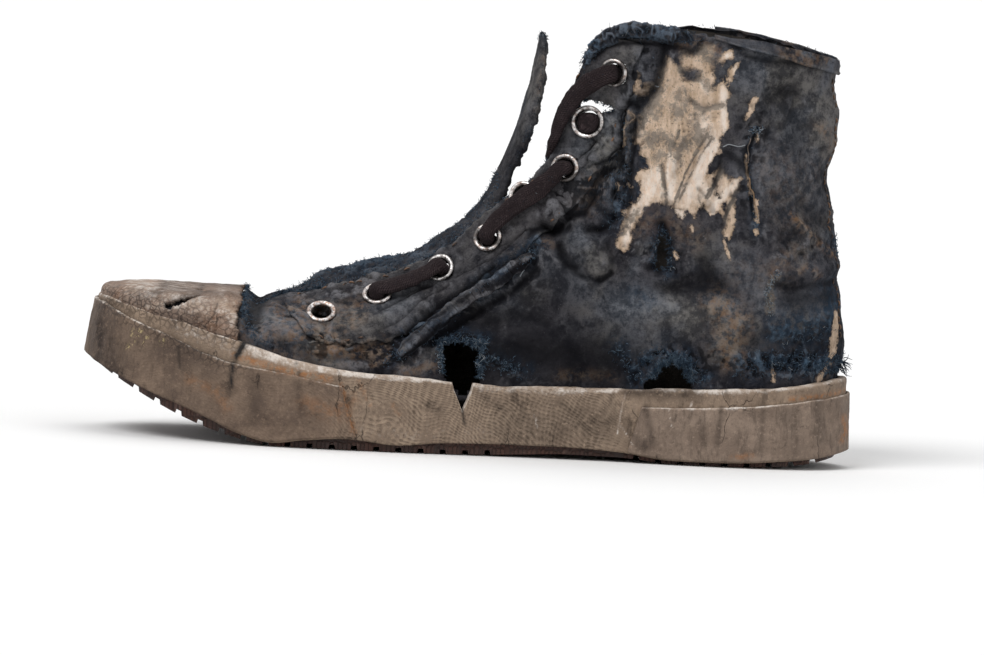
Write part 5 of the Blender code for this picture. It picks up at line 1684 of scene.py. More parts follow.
def model_eyelet(hole=EYELET_HOLE_R, barrel=EYELET_BARREL_R, rim=EYELET_RIM_SHOWN):
    """A pressed ring, drawn up from its barrel and rolled over into a rim."""
    lip = min(rim - hole - 0.55, 1.0)
    profile = (
        (hole, -0.6),
        (hole, 0.3),
        (hole + 0.15 * (rim - hole), 0.62),
        (rim - lip - 0.3, 0.72),
        (rim - lip, 0.92),
        (rim - 0.5 * lip, 0.88),
        (rim - 0.12, 0.5),
        (rim, 0.1),
        (rim - 0.25, -0.06),
        (barrel, 0.0),
        (barrel, -EYELET_DEEP),
        (hole, -EYELET_DEEP),
        (hole, -0.6),
    )
    bpy.ops.object.select_all(action="DESELECT")
    radius, level = profile[0]
    bpy.ops.mesh.primitive_circle_add(
        vertices=EYELET_ROUND, radius=radius * MM, location=(0, 0, level * MM)
    )
    ring = bpy.context.object
    bpy.ops.object.transform_apply(location=True, rotation=False, scale=False)
    bpy.ops.object.mode_set(mode="EDIT")
    bpy.ops.mesh.select_all(action="SELECT")
    for (r0, z0), (r1, z1) in zip(profile[:-1], profile[1:], strict=True):
        bpy.ops.mesh.extrude_region_move(TRANSFORM_OT_translate={"value": (0, 0, (z1 - z0) * MM)})
        bpy.ops.transform.resize(value=(r1 / r0, r1 / r0, 1), center_override=(0, 0, 0))
    bpy.ops.mesh.select_all(action="SELECT")
    bpy.ops.mesh.remove_doubles(threshold=0.00001)
    bpy.ops.mesh.normals_make_consistent(inside=False)
    bpy.ops.object.mode_set(mode="OBJECT")
    ring.data.shade_smooth()
    return ring


def make_eyelets():
    nickel = metal_finish()
    plain = model_eyelet()
    torn = model_eyelet(*TORN_EYELET_RING)
    draw = np.random.default_rng(4)
    for side in ("outer", "inner"):
        for number, place in enumerate(EYELETS[side], 1):
            name = f"eyelet_{side}_{number}"
            pattern = torn if (side, number) == ("outer", TORN_EYELET) else plain
            ring = pattern.copy()
            ring.data = pattern.data.copy()
            ring.name = f"ring_{side}_{number}"
            bpy.context.scene.collection.objects.link(ring)
            dent = Matrix.Scale(1 + 0.05 * draw.uniform(-1, 1), 4, (1, 0, 0))
            lean = Matrix.Rotation(math.radians(draw.uniform(-4, 4)), 4, "X")
            away = -1 if side == "outer" else 1
            upright = Matrix.Rotation(math.radians(-away * EYELET_LEAN.get(number, 0)), 4, "X")
            where = eyelet_frame(side, place)
            middle = Matrix.Translation(where.translation)
            ring.data.transform(middle @ upright @ middle.inverted() @ where @ lean @ dent)
            spots = np.array([vertex.co[:] for vertex in ring.data.vertices]) / MM
            rust = 0.6 if number == RUSTY_EYELET else draw.uniform(0.0, 0.5)
            add_layer(ring.data, "rust", np.full(len(spots), rust))
            add_layer(ring.data, "grime", np.clip(0.2 + 1.1 * rough(spots, 5, 2, 40 + number), 0, 1))
            ring.data.materials.append(nickel)
            settle(ring, (name,))
    bpy.data.objects.remove(plain)
    bpy.data.objects.remove(torn)


make_eyelets()


def soften(path, rounds):
    """Evens out the corners of a path, keeping its ends."""
    for _ in range(rounds):
        path = np.concatenate([path[:1], (path[:-2] + 2 * path[1:-1] + path[2:]) / 4, path[2:][-1:]])
    return path


LACE_ROUND = 22
LACE_FULL = 1.75  # half the thickness of a lace that fills its eyelet
LACE_TUCK = 3.0  # the top lace lies this much closer to the flap's front edge
LACE_RISE = 3.0  # and its lowest turn this much higher


def lace_mesh(name, path, wide, flatten, stands_for=(), half_thick=LACE_FULL, seed=0, plump=1.0):
    """A flat woven lace along a path: an oval tube, a little uneven, with its weave laid out."""
    plump = np.broadcast_to(plump, len(path))[:, None, None]
    flat = np.broadcast_to(flatten, len(path))[:, None, None]
    ahead = heading(path)
    side = unit(wide - (wide * ahead).sum(1, keepdims=True) * ahead)
    oval = ring_round(side, np.cross(ahead, side), LACE_ROUND, flat, plump)
    uneven = 1 + 0.12 * rough(path[:, None] + 3 * oval, 3.5, 3, seed)
    points = path[:, None] + half_thick * uneven[..., None] * oval
    run = arc_lengths(path, 0)[:, None]
    round_way = (np.cos(turns(LACE_ROUND)) * LACE_FLATTEN * half_thick)[None]
    weave = np.stack(np.broadcast_arrays(round_way, run, 0 * run), -1)
    return loft(name, points, laces, stands_for, {"weave": weave})


laces = lace_finish()


RUN_POINTS = 70


def lace_run(first, last, rise, over=None, shift=0.0):
    """Path and wide direction of a lace out of one outer eyelet and into another, by number."""
    first, last = EYELETS["outer"][first - 1], EYELETS["outer"][last - 1]
    reach = np.linspace(0, 1, 7)
    middle = [(a + b) / 2 for a, b in zip(first, last, strict=True)]
    if over is not None:
        middle = [a + LACE_OVER * (b - a) for a, b in zip(middle, EYELETS["outer"][over - 1], strict=True)]
    bow = 4 * reach * (1 - reach)
    us, vs = (
        a + (b - a) * reach + (m - (a + b) / 2) * bow
        for a, b, m in zip(first, last, middle, strict=True)
    )
    vs = vs + shift * np.sin(math.pi * reach)
    lift = LACE_LIFT + rise * np.sin(math.pi * reach) ** 0.6
    ends = [over_skin(*end, -LACE_PLUNGE) for end in (first, last)]
    path = soften(smooth_path([ends[0], *over_skin(us, vs, lift), ends[1]], RUN_POINTS), 6)
    normal = skin_normal(*(np.full(len(path), m) for m in middle))
    return path, np.cross(np.gradient(path, axis=0), normal)


def along(count, shares, values):
    """Values along a line of this many points, between those at these shares of it."""
    return np.interp(np.linspace(0, 1, count), shares, values)


def make_strand(name, run, most, stands_for, half_thick, seed):
    """A run of lace, flat between its eyelets and bunched up in them."""
    flatten = along(RUN_POINTS, (0, 0.12, 0.3, 0.7, 0.88, 1), (1.8, 1.85, most, most, 1.85, 1.8))
    plump = along(RUN_POINTS, (0, 0.12, 0.24, 0.76, 0.88, 1), (1.7, 1.6, 1, 1, 1.6, 1.7))
    lace_mesh(name, *run, flatten, stands_for, half_thick, seed, plump)


WRAP_POINTS = 120
STUB_DEPTHS = np.array([-7.0, -5.6, -4.2, -2.8, -1.4, -0.2, 0.7, 1.3, 1.6])
STUB_SWELL = np.array([1.2, 1.35, 1.45, 1.5, 1.5, 1.5, 1.4, 1.15, 0.6])


def make_top_lace():
    """The lace out of the top eyelet, over the flap's front edge and back up behind it."""
    at = columns(LACE_TOP, LACE_TOP_COLUMNS)
    tuck = LACE_TUCK * hump(at["z"] - 119, 10) * (at["x"] < 36)
    rise = LACE_RISE * hump(at["z"] - 114, 5)
    line = np.stack([at["x"] + tuck, at["y"], at["z"] + rise], -1)
    path = soften(smooth_path(line, WRAP_POINTS), 8)
    face = smooth_path(np.stack([at["face_x"], at["face_y"], 0 * at["x"]], -1), WRAP_POINTS)
    wide = np.cross(face, np.gradient(path, axis=0))
    flatten = along(WRAP_POINTS, (0, 0.1, 0.2, 0.8, 0.9, 1), (1.9, 2, 2.2, 1.9, 1.9, 2))
    lace_mesh("lace_top_wrap", path, wide, flatten, ("lace_top",), seed=4)
    return path


def make_lace_end():
    """The end of the lace, bunched up in the torn eyelet."""
    count = len(STUB_DEPTHS)
    u, v = (np.full(count, c) for c in EYELETS["outer"][TORN_EYELET - 1])
    sag = np.linspace(1, 0, count)[:, None] ** 2 * np.array([2.0, 0, -3.0])
    path = over_skin(u, v, STUB_DEPTHS + EYELET_LIFT) + sag
    wide = np.tile([0.6, 0.0, 0.8], (count, 1))
    lace_mesh("lace_end_in_eyelet", path, wide, STUB_SWELL, half_thick=2.9, seed=5, plump=1.45)


def make_laces():
    low = lace_run(2, 3, 0.0)
    upper = lace_run(4, 6, 0.0, 5, 0.016)
    lower = lace_run(4, 6, -0.1, 5, -0.016)
    make_strand("lace_low_run", low, LACE_FLATTEN, ("lace_low",), LACE_FULL, 1)
    make_strand("lace_mid_upper_strand", upper, 1.8, ("lace_mid",), 1.6, 2)
    make_strand("lace_mid_lower_strand", lower, 1.7, (), 1.5, 3)
    top = make_top_lace()
    make_lace_end()
    return {"low": low[0], "mid": lower[0], "top": top}


lace_paths = make_laces()


ROLL_POINTS = 200
ROLL_ROUND = 30


def make_roll():
    """The torn lower edge of the outer facing, rolled into a cord of cloth and fraying."""
    u, v = smooth_path([find_on_skin(x, z) for x, z in FACING_ROLL], ROLL_POINTS).T
    height = crumple(u, v, "outer")[0]
    path = over_skin(u, v, ROLL_R + 0.3 + 0.5 * np.clip(height, -0.8, 1.5))
    path[:, 2] += 0.7 * rough(path, 14, 2, 45)
    ahead = heading(path)
    side = unit(np.cross(ahead, skin_normal(u, v)))
    face = np.cross(side, ahead)
    share = np.linspace(0, 1, ROLL_POINTS)
    taper = along(ROLL_POINTS, (0, 0.06, 0.5, 0.9, 1), (0.55, 1, 1.1, 0.9, 0.45))[:, None]
    ring = ring_round(side, face, ROLL_ROUND, 1.45, 0.9)
    twist = np.cos(3 * turns(ROLL_ROUND)[None] + 9 * share[:, None] + 2.5 * noise(path, 12, 47)[:, None])
    lumpy = 1 + 0.13 * twist + 0.24 * rough(path[:, None] + 2 * ring, 3.6, 3, 41)
    points = path[:, None] + (ROLL_R * taper * lumpy)[..., None] * ring
    at = points[..., [0, 2]]
    layers = cloth_layers(u[:, None], at, "outer", 0.0, 0.45 + 0.3 * twist + 0.35 * rough(points, 3, 2, 43))
    # Painted light: shade under the roll, less of it on the ridges of the twist, and a highlight on its
    # upper, outer side
    layers["shade"] = np.clip(0.8 * np.clip(-ring @ np.array([0, 0, 1.0]), 0, 1) - 0.5 * twist, 0, 1)
    layers["bare"] = 0 * layers["bare"]
    layers["blue"] = np.clip(0.3 + 0.7 * noise(points, 9, 49), 0, 1)
    layers["dust_and_highlight"] = 0.35 * np.clip(ring @ np.array([0, -0.3, 0.8]), 0, 1)
    layers["weave"] = cloth_directions(points)
    loft("rolled_facing_edge", points, facing_cloth, ("facing_roll",), layers)
    return path


roll_path = make_roll()

# ---------------------------------------------------------------- tongue


def tongue_rows():
    """Five points across each row of the tongue: lap, edge, middle, edge, lap, outer side first."""
    rows = []
    for rib, stand in TONGUE_IN_THROAT:
        levels = (v_from_edge(rib, TONGUE_LAP), 1.0)
        lap, edge = (over_skin(rib, v, -UPPER_THICK - TONGUE_CLEAR) for v in levels)
        climb = skin(rib + 0.2, 1.0) - skin(rib - 0.2, 1.0)
        climb /= math.hypot(climb[0], climb[2])
        middle = (edge[0] - climb[2] * stand, THROAT_SHIFT_Y, edge[2] + climb[0] * stand)
        across = [(x, 2 * THROAT_SHIFT_Y - y, z) for x, y, z in (edge, lap)]
        rows.append([lap, edge, middle, *across])
    return [*free_rows(TONGUE_BASE), *rows, *free_rows(TONGUE_FREE)]


def free_rows(table):
    """Rows of the tongue where it lies free of the throat, each bowed across."""
    at = columns(table, TONGUE_COLUMNS)
    slope = unit(np.stack([np.gradient(at["x"]), np.gradient(at["z"])], -1))
    rows = []
    for i, (ahead_x, ahead_z) in enumerate(slope):
        rows.append([])
        for q, share in zip(TONGUE_ACROSS, (1, 0.5, 0, 0.5, 1), strict=True):
            fall = share * at["fall"][i]
            y = at["shift"][i] + q * at["half"][i]
            rows[-1].append((at["x"][i] + ahead_z * fall, y, at["z"][i] - ahead_x * fall))
    return rows


# How far the tongue rises out of the throat, by x; and its thickness, by step along it
TONGUE_LIFT = ((-79, 0), (-76.5, 1.2), (-73.5, 3.2), (-66, 2.8), (-56, 2.2), (-45, 1.5), (-38, 1), (-28, 0))
TONGUE_FULL = ((0, 1.6), (2, 1.8), (7, 2.8), (8.3, 6), (9.2, 5.2), (10, 4.2), (10.8, 3.4), (11, 2))


TONGUE_ACROSS = (-1, -0.8, 0, 0.8, 1)
TONGUE_ROWS = 200
TONGUE_POINTS = 49


def make_tongue():
    """The tongue: under the vamp, across the throat, then standing free with frayed edges."""
    rows = np.array(tongue_rows(), float)
    steps = np.linspace(0, len(rows) - 1, TONGUE_ROWS)
    across = np.linspace(-1, 1, TONGUE_POINTS)
    grid = np.empty((TONGUE_ROWS, TONGUE_POINTS, 3))
    for k in range(3):
        lines = smooth_path(rows[..., k], TONGUE_ROWS)
        grid[..., k] = [smooth(TONGUE_ACROSS, line, across) for line in lines]
    free = np.clip((steps - 8.2) / 1.5, 0, 1)[:, None]
    tip = np.clip(steps - 10, 0, 1)[:, None] ** 2
    grid[..., 2] -= 5.0 * tip * np.abs(across) ** 1.5
    lift, middle = np.array(TONGUE_LIFT), grid.shape[1] // 2
    inner = np.clip(1.2 - across**2, 0, 1)
    grid[..., 2] += np.interp(grid[:, middle, 0], lift[:, 0], lift[:, 1])[:, None] * inner
    place = np.stack([steps * 14, 0 * steps, 0 * steps], -1)
    jag = 1 - 0.03 * (1 + rough(place, 3, 3, 61))[:, None] * np.clip(free, 0.2, 1)
    grid = grid[:, middle, None] + (grid - grid[:, middle, None]) * jag[..., None]
    normal = unit(np.cross(np.gradient(grid, axis=0), np.gradient(grid, axis=1)))
    throat = np.clip(1 - np.abs(steps - 4.5) / 4.0, 0, 1)[:, None]
    mat = matting(grid, throat * inner)[0]
    lumps = throat * inner * (1.1 * rough(grid, 6.5, 2, 62) + 0.6 * rough(grid, 2.4, 2, 64)) + 0.7 * mat
    lumps = lumps + 0.35 * rough(grid, 9, 2, 63) * free + 0.16 * rough(grid, 1.8, 2, 60) * free
    grid = grid + normal * lumps[..., None]
    full = np.interp(steps, *np.array(TONGUE_FULL).T)[:, None] * (1 - 0.35 * across**4)
    full = full * (1 + 0.22 * rough(place + (50, 0, 0), 1.5, 3, 70)[:, None])
    back = grid - normal * full[..., None]
    strip = throat * np.clip(1.25 - np.abs(across), 0, 1)
    edge = np.exp(-(1 - np.abs(across)) / 0.09)[None] * (0.4 + 0.6 * free)
    layers = {
        "dust_and_highlight": 0.62 * free * np.clip(0.85 + 0.3 * rough(grid, 12, 2, 65), 0, 1),
        "blue": np.clip(0.85 * strip + 0.3 * edge * (1 - free), 0, 1),
        "earth": 0.5 * np.clip(edge * free * rough(grid, 8, 2, 66), 0, 1),
        # Painted shade where the tongue lies in the throat, over random darker patches
        "shade": 0.25 * (1 - free) + 0.3 * np.clip(rough(grid, 8, 3, 67), 0, 1),
        "relief": 0.5 + 0.4 * lumps,
        "weave": cloth_directions(grid),
    }
    layers = {name: np.concatenate([part, part[:, ::-1]], 1) for name, part in layers.items()}
    sections = np.concatenate([grid, back[:, ::-1]], 1)
    loft("tongue_cloth", sections, facing_cloth, ("tongue",), layers)
    return {"front": grid, "back": back, "normal": normal, "steps": steps, "across": across}


tongue = make_tongue()

# ---------------------------------------------------------------- sole

# Marks of the rubber: strength, half width, line
SOLE_PALE = (
    (1.1, 1.5, -64, 32.2, -54, 30.8, -40, 29.8, -18, 28.9),
    (0.85, 2.6, -86, 37.5, -74, 34.6, -60, 31.6),
    (0.5, 2, 6, 26.2, 30, 26.2, 50, 26.8),
    (0.8, 1.2, 36, 27, 58, 27.6),
    (0.4, 4, -88, 36, -98, 39, -112, 43),
    (0.25, 6, -20, 9, 0, 8, 10, 10),
    (0.3, 5, -38, 9, -20, 7),
    (0.6, 1.6, 90, 29, 104, 29.6, 118, 30.8),
    (0.75, 0.45, 63, 31, 61, 23, 59.5, 11),
    (0.6, 0.45, 60.4, 15, 65.7, 7),
    (0.6, 0.6, 27, 17, 28.4, 12),
    (0.8, 0.5, 88, 25, 87.2, 22.6),
    (0.5, 0.6, 78.8, 21.6, 80.6, 14.6),
)
SOLE_RUST = (
    (0.95, 1.2, -90, 34.4, -82, 32.2, -72, 30, -62, 28.6, -53, 27.2),
    (0.85, 0.8, -48, 25.6, -46.4, 19, -44.8, 14, -42.4, 7),
    (0.5, 0.6, -42, 27, -38.6, 22, -36.4, 18),
    (0.45, 0.6, -28, 19, -25.4, 15),
    (0.9, 0.8, 126, 27.4, 138, 28.8, 150, 31),
    (0.3, 2, -108, 24, -96, 20, -92, 14),
    (0.95, 1.3, 148, 20, 149, 14, 147.6, 11.4),
    (0.3, 3, -62, 18, -50, 14, -44, 20),
    (0.5, 1.2, 105, 4, 112, 5),
)
SOLE_SOOT = (
    (0.9, 1.6, -148.5, 36, -148.8, 42),
    (0.6, 1.6, -83.4, 44, -85.6, 41.4, -87.2, 38, -89.3, 34, -90.8, 30, -91.3, 20),
    (0.95, 9, -148, 44, -143, 34, -139, 24),
    (0.35, 6, -126, 36, -112, 32, -98, 28),
    (0.5, 3.5, -82, 26, -81, 18, -82, 10),
    (0.9, 0.9, -45.4, 20.4, -44.8, 18.4),
    (0.6, 1.6, -65, 25, -63, 14),
    (0.9, 0.7, -0.9, 17.6, -0.2, 14, 0.4, 12),
    (0.6, 2, -14, 19, -10, 17.6),
    (0.6, 1, 18, 26, 22, 18, 28, 12),
    (0.5, 2.4, 6, 24, 14, 19, 22, 12),
    (0.55, 9, 18, 12, 34, 13, 54, 14),
    (0.45, 3, 34, 22, 44, 18, 54, 20),
    (0.4, 2.4, 56, 22, 62, 14, 70, 6),
    (0.75, 3, 63, 28, 76, 27.6, 88, 28),
    (0.5, 0.9, 84.2, 31, 85.4, 26.6),
    (0.4, 0.9, 100.5, 32, 101.2, 26),
    (0.4, 0.9, 115.8, 32.4, 116.2, 26),
    (0.6, 1.4, 70, 22, 73.6, 8),
    (0.6, 1.2, 99.4, 23, 98.2, 9),
    (0.6, 1.2, 115.6, 22, 115.2, 6),
    (0.5, 1.5, 91, 17, 93.3, 9),
    (0.6, 2.2, 137, 26, 138.4, 12),
    (0.4, 4, 126, 22, 130, 8),
)
SOLE_SPLITS = (
    (1.5, 0.9, -83.4, 45, -85.6, 41.4, -87.2, 38, -89.3, 34),
    (1.1, 0.6, -89.3, 34, -90.6, 30, -90.9, 22),
    (0.8, 0.4, -92.3, 41.4, -93.5, 45.3),
    (0.7, 0.4, -66, 33, -64.6, 28),
    (0.6, 0.4, -112, 36, -111, 28),
    (0.7, 0.35, -0.9, 18, -0.3, 13.4),
    (0.5, 0.3, 84.2, 31, 85.4, 26.6),
    (0.4, 0.3, 100.5, 32, 101.2, 27),
    (0.4, 0.3, 115.8, 32.4, 116.8, 27),
)
SOLE_SPECKS = (
    (1, 0.6, -127, 41.6, -129, 38, -132, 33.6),
    (0.9, 0.5, -124.5, 39, -126, 35),
    (0.8, 0.6, -118.4, 38.4, -119, 36.6),
    (0.7, 0.5, -130, 41, -131, 39),
)


def rubber_marks(points, x, top, rim):
    """Strength of each of the rubber's marks. Rim: the pale edge's strength and depth."""
    at = np.stack([x, points[..., 2]], -1)
    crazed = np.clip(np.minimum((x + 60) / 30, (66 - x) / 14), 0.18, 1) * (x < 66)
    streak = np.clip((x - 42) / 20, 0, 1) * 0.9 + np.clip((-x - 92) / 20, 0, 1) * 0.6
    below = np.clip(top - points[..., 2], 0, 99)
    # Pale band just under the top edge: worn chalk, partly a painted highlight
    edge = rim[0] * hump(below, rim[1]) * np.clip(0.75 + 0.6 * noise(points, 14, 77), 0, 1)
    edge = edge + 0.1 * np.clip(1 - np.abs(below - 3) / 4, 0, 1) * (x > 5)
    return {
        "crazed": crazed,
        "streak": streak,
        "pale_edge": np.maximum(edge, stroke_strength(at, SOLE_PALE)),
        "rust": stroke_strength(at, SOLE_RUST),
        "soot": stroke_strength(at, SOLE_SOOT),
        "specks": stroke_strength(at, SOLE_SPECKS),
        "split": stroke_strength(at, SOLE_SPLITS),
        "crackle": np.clip(-(x + 78) / 12, 0, 1) * np.clip(1 - below / 7, 0, 1),
    }


def rubber_layers(points, top, rim=(0.8, 1.1)):
    """Layers of the rubber's marks. The inner side has the outer side's, turned end for end."""
    turned = np.clip(0.5 + points[..., 1] / 30, 0, 1)
    outer = rubber_marks(points, points[..., 0], top, rim)
    inner = rubber_marks(points, -points[..., 0] * 0.9 - 6, top, rim)
    return {key: (1 - turned) * outer[key] + turned * inner[key] for key in outer}


side_rubber = dirty_rubber("netted_rubber", (0.37, 0.275, 0.2), (0.215, 0.155, 0.112), (0.088, 0.06, 0.044))
toe_rubber = dirty_rubber("toe_rubber", (0.235, 0.165, 0.118), (0.112, 0.076, 0.056), (0.046, 0.031, 0.025))
heel_rubber = dirty_rubber("heel_rubber", (0.32, 0.24, 0.185), (0.19, 0.138, 0.105), (0.085, 0.06, 0.047))
cap_rubber = dirty_rubber("cap_rubber", (0.33, 0.235, 0.18), (0.20, 0.138, 0.105), (0.085, 0.056, 0.045))


RUBBER_WEAR = 0.9  # how strongly the bands' faces are bumped
STRIP_STATIONS = 26  # to each rib


def notch_height(x):
    """Height of the notch's edge; far above the sidewall away from the notch."""
    line = np.array(NOTCH)
    return np.interp(x, line[:, 0], line[:, 1], left=99, right=99)


def band_sections(top, bottom, high, low, inner, outer, rungs, seed):
    """Sections of a worn rubber band on the sidewall: its outer face, eased edges and back."""
    ease = min(0.9, (outer - inner) * 0.6)
    rows = []
    for share in np.linspace(0, 1, rungs):
        u = bottom + (top - bottom) * share
        rows.append(wall_point(u, low + (high - ease - low) * share, -outer))
    rows.append(wall_point(top, high - 0.3 * ease, -(outer - 0.25 * ease)))
    rows.append(wall_point(top, high, -(outer - ease)))
    rows.append(wall_point(top, high, -(inner + outer) / 2 * 0.6 - inner * 0.4))
    rows.append(wall_point(top, high, -inner))
    rows.append(wall_point((top + bottom) / 2, (low + high) / 2, -inner))
    rows.append(wall_point(bottom, low, -inner))
    rows.append(wall_point(bottom, low, -(inner + outer) / 2))
    sections = np.stack(rows, 1)
    nx, ny = outward(top)
    out = np.stack([nx, ny, 0 * nx], -1)[:, None]
    face = np.zeros(sections.shape[1])
    face[: rungs + 2] = 1
    bumps = 0.32 * rough(sections, 9, 2, seed) + 0.16 * rough(sections, 2.6, 2, seed + 5)
    sections = sections + out * (RUBBER_WEAR * bumps * face)[..., None]
    lip = 0.35 * rough(sections, 7, 3, seed + 9)
    order = np.arange(sections.shape[1])
    sections[..., 2] += lip * ((order >= rungs - 1) & (order < rungs + 4))
    return sections


def ring_stations(count, dense):
    """Stations all round the sole, closer together over the dense spans."""
    stations = list(np.linspace(0, ROWS, count, endpoint=False))
    for low, high, extra in dense:
        stations += list(np.linspace(low, high, extra))
    return np.unique(np.round(stations, 5))


def make_sidewall():
    """The rubber tape round the sole, torn open in a notch under the quarter's hole."""
    u = ring_stations(760, ((6.1, 7.0, 120),))
    x = around("x", u)
    high = sole_height("high", x)
    outer_side = u < HEEL_RIB
    high = np.where(outer_side, np.minimum(high, notch_height(x)), high)
    sections = band_sections(u, u, high, sole_height("low", x), -SIDEWALL_THICK, 0.0, 30, 81)
    layers = rubber_layers(sections, high[:, None])
    loft("sidewall_rubber", sections, side_rubber, ("sidewall",), layers, ring=True)


def make_strip(name, node, first, last, top_table, finish, seed):
    """A second tape over the sidewall, with slanted ends: the toe bumper, or the heel's strip."""
    count = int(abs(last[0] - first[0]) * STRIP_STATIONS)
    share = np.linspace(0, 1, count)
    top = first[0] + (last[0] - first[0]) * share
    bottom = first[1] + (last[1] - first[1]) * share
    lit_fold_tops = np.array(top_table, float)
    x_top = around("x", top)
    high = np.minimum(smooth(lit_fold_tops[:, 0], lit_fold_tops[:, 1], x_top), sole_height("high", x_top) - 1)
    low = sole_height("low", around("x", bottom)) + 0.4
    sections = band_sections(top, bottom, high, low, CURVED_GAP, CURVED_GAP + STRIP_THICK, 26, seed)
    loft(name, sections, finish, (node,), rubber_layers(sections, high[:, None], (0.85, 0.6)))


BUMPER_REACH = (TOE_BUMPER_END[0] + 0.08, TOE_BUMPER_END[1])
BUMPER_START = (-BUMPER_REACH[0], -BUMPER_REACH[1])
HEEL_STRIP_REACH = (ROWS - HEEL_STRIP_END[0], ROWS - HEEL_STRIP_END[1])

make_sidewall()
make_strip("bumper_rubber", "toe_bumper", BUMPER_START, BUMPER_REACH, BUMPER_TOP, toe_rubber, 91)
make_strip(
    "heel_strip_rubber", "heel_strip", HEEL_STRIP_END, HEEL_STRIP_REACH, HEEL_STRIP_TOP, heel_rubber, 95
)

# Creases and marks of the toe cap, in the same form as the cloth's
CAP_CREASES = (
    (-0.7, 0.9, -119, 50.6, -110, 53.4, -104, 54.6),
    (0.7, 1.6, -121, 49, -110, 51.6, -103, 52.4),
    (-0.6, 0.8, -98, 52, -99, 48, -102, 44),
    (0.6, 1.5, -94, 55, -94, 48, -97, 42),
    (-0.7, 2, -140, 53, -134, 50, -128, 50),
    (-0.5, 0.8, -91, 52, -94, 49, -96, 44),
    (-0.8, 1.4, -96, 42, -91, 41),
)
CAP_PALE = (
    (0.8, 4, -98, 52, -92, 50, -90, 46),
    (0.7, 5, -132, 55, -116, 54, -102, 50),
    (0.8, 1.4, -123, 50, -112, 50.5, -104, 51),
    (0.5, 3, -146, 52, -140, 55),
)
CAP_SOOT = (
    (0.9, 0.9, -118, 51, -111, 53.6, -105, 54.6),
    (0.75, 2.2, -124, 52.4, -118, 56, -100, 56, -91, 56),
    (0.7, 3.6, -136, 49, -124, 46, -112, 46, -104, 44),
    (0.8, 0.7, -98, 52, -99, 48, -102, 44),
    (0.8, 1.4, -98, 41.6, -91, 40.8),
    (0.5, 2.2, -128, 53, -126, 51),
    (0.6, 1.4, -88.8, 56, -89.4, 50, -90, 42),
)


def make_toe_cap():
    """The rubber cap over the toes: scuffed flat on top, split on its outer side, torn behind."""
    u = np.linspace(-TOE_CAP_RIBS, TOE_CAP_RIBS, 220)
    v = np.concatenate([np.linspace(-0.12, 0, 7)[:-1], np.linspace(0, 1, 76)])
    us, vs = np.meshgrid(u, v, indexing="ij")
    base = skin(us, vs)
    side = np.where(us < 0, -1, 1)
    at = base[..., [0, 2]]
    height = creases(at, CAP_CREASES)
    height = height * (side > 0) + 0.45 * rough(base, 16, 3, 51) + 0.12 * rough(base, 3, 2, 53)
    height = np.clip(height, -0.7, 1.6) * np.clip(vs / 0.1, 0.15, 1)
    height = height + 1.1 * hump(np.maximum(vs, 0), 0.09)
    points = over_skin(us, vs, height + GAP)
    rear = TOE_CAP_REAR_X + 1.1 * rough(base, 5, 3, 57)
    gone = base[..., 0] > rear
    slit = depth_inside(at, TOE_SLIT) + 0.4 * rough(np.concatenate([at, 0 * at[..., :1]], -1), 1.6, 2, 58)
    gone |= (slit > 0.3) & (side > 0) & (base[..., 1] < -8)
    layers = {
        "crazed": 0.75 * np.clip(1.2 - vs / 0.5, 0, 1),
        "streak": 0.5 * np.ones(us.shape),
        "pale_edge": 0.75 * stroke_strength(at, CAP_PALE),
        "rust": 0.25 * np.clip(rough(base, 9, 2, 59), 0, 1),
        "soot": stroke_strength(at, CAP_SOOT),
        "specks": 0 * at[..., 0],
        "crackle": np.clip(1 - vs / 0.45, 0.12, 1),
    }
    faces = drop_faces(grid_faces(*us.shape), gone)
    cap = piece("toe_cap_rubber", points, faces, cap_rubber, ("toe_cap",), layers)
    thicken(cap, TOE_CAP_THICK, outwards=True)


make_toe_cap()


INSOLE_PAD_THICK = 2.6


def make_insole():
    """The cloth-topped insole: dished, and worn dark under the ball and heel."""
    u = np.linspace(0.02, HEEL_RIB - 0.02, 120)
    share = np.linspace(0, 1, 30)
    inset = UPPER_INSET + UPPER_THICK + 0.9
    level = sole_height("deck", around("x", u)) + GAP + INSOLE_THICK
    outer = wall_point(u, level, inset)
    inner = wall_point(ROWS - u, level, inset)
    grid = outer[:, None] * (1 - share[None, :, None]) + inner[:, None] * share[None, :, None]
    rim = np.minimum(share, 1 - share)[None]
    # worn down under the ball of the foot and under the heel
    ball = np.exp(-(((grid[..., 0] + 62) / 30) ** 2 + ((grid[..., 1] - 4) / 24) ** 2))
    heel = np.exp(-(((grid[..., 0] - 104) / 26) ** 2 + (grid[..., 1] / 18) ** 2))
    dished = 1.0 * np.exp(-rim / 0.05) - 0.9 * ball - 1.1 * heel
    grid[..., 2] += dished + 0.25 * rough(grid, 10, 3, 71) - 0.4
    layers = {"worn": np.clip(ball + heel, 0, 1), "weave": cloth_directions(grid)}
    faces = grid_faces(*grid.shape[:2])
    pad = piece("insole_pad", grid, faces, insole_finish(), ("insole",), layers)
    thicken(pad, INSOLE_PAD_THICK)


make_insole()
tread = outsole_finish()
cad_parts["outsole"].data.materials.clear()
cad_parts["outsole"].data.materials.append(tread)

# ---------------------------------------------------------------- collar: frayed roll and folded hem


def edge_path(first, last, count, side, down, over):
    """A line along the opening's edge, this far down from it and this high over the cloth."""
    u = np.linspace(first, last, count)
    v = np.array([v_from_edge(k, d) for k, d in zip(u, np.broadcast_to(down, count), strict=True)])
    return u, v, worn_point(u, v, side, over)


COLLAR_POINTS = 260
ROLL_START = 10.7  # u where the flap's frayed edge begins
COLLAR_FRONT = 12.6  # u where it ends, at the collar's front
HEM_START, HEM_END = 12.9, 19.2
ROLL_DROP = 2.4  # mm below the opening's edge
ROLL_OVER = 0.6  # mm over the cloth
ROLL_SIDES = 36
HEM_ROWS = 16


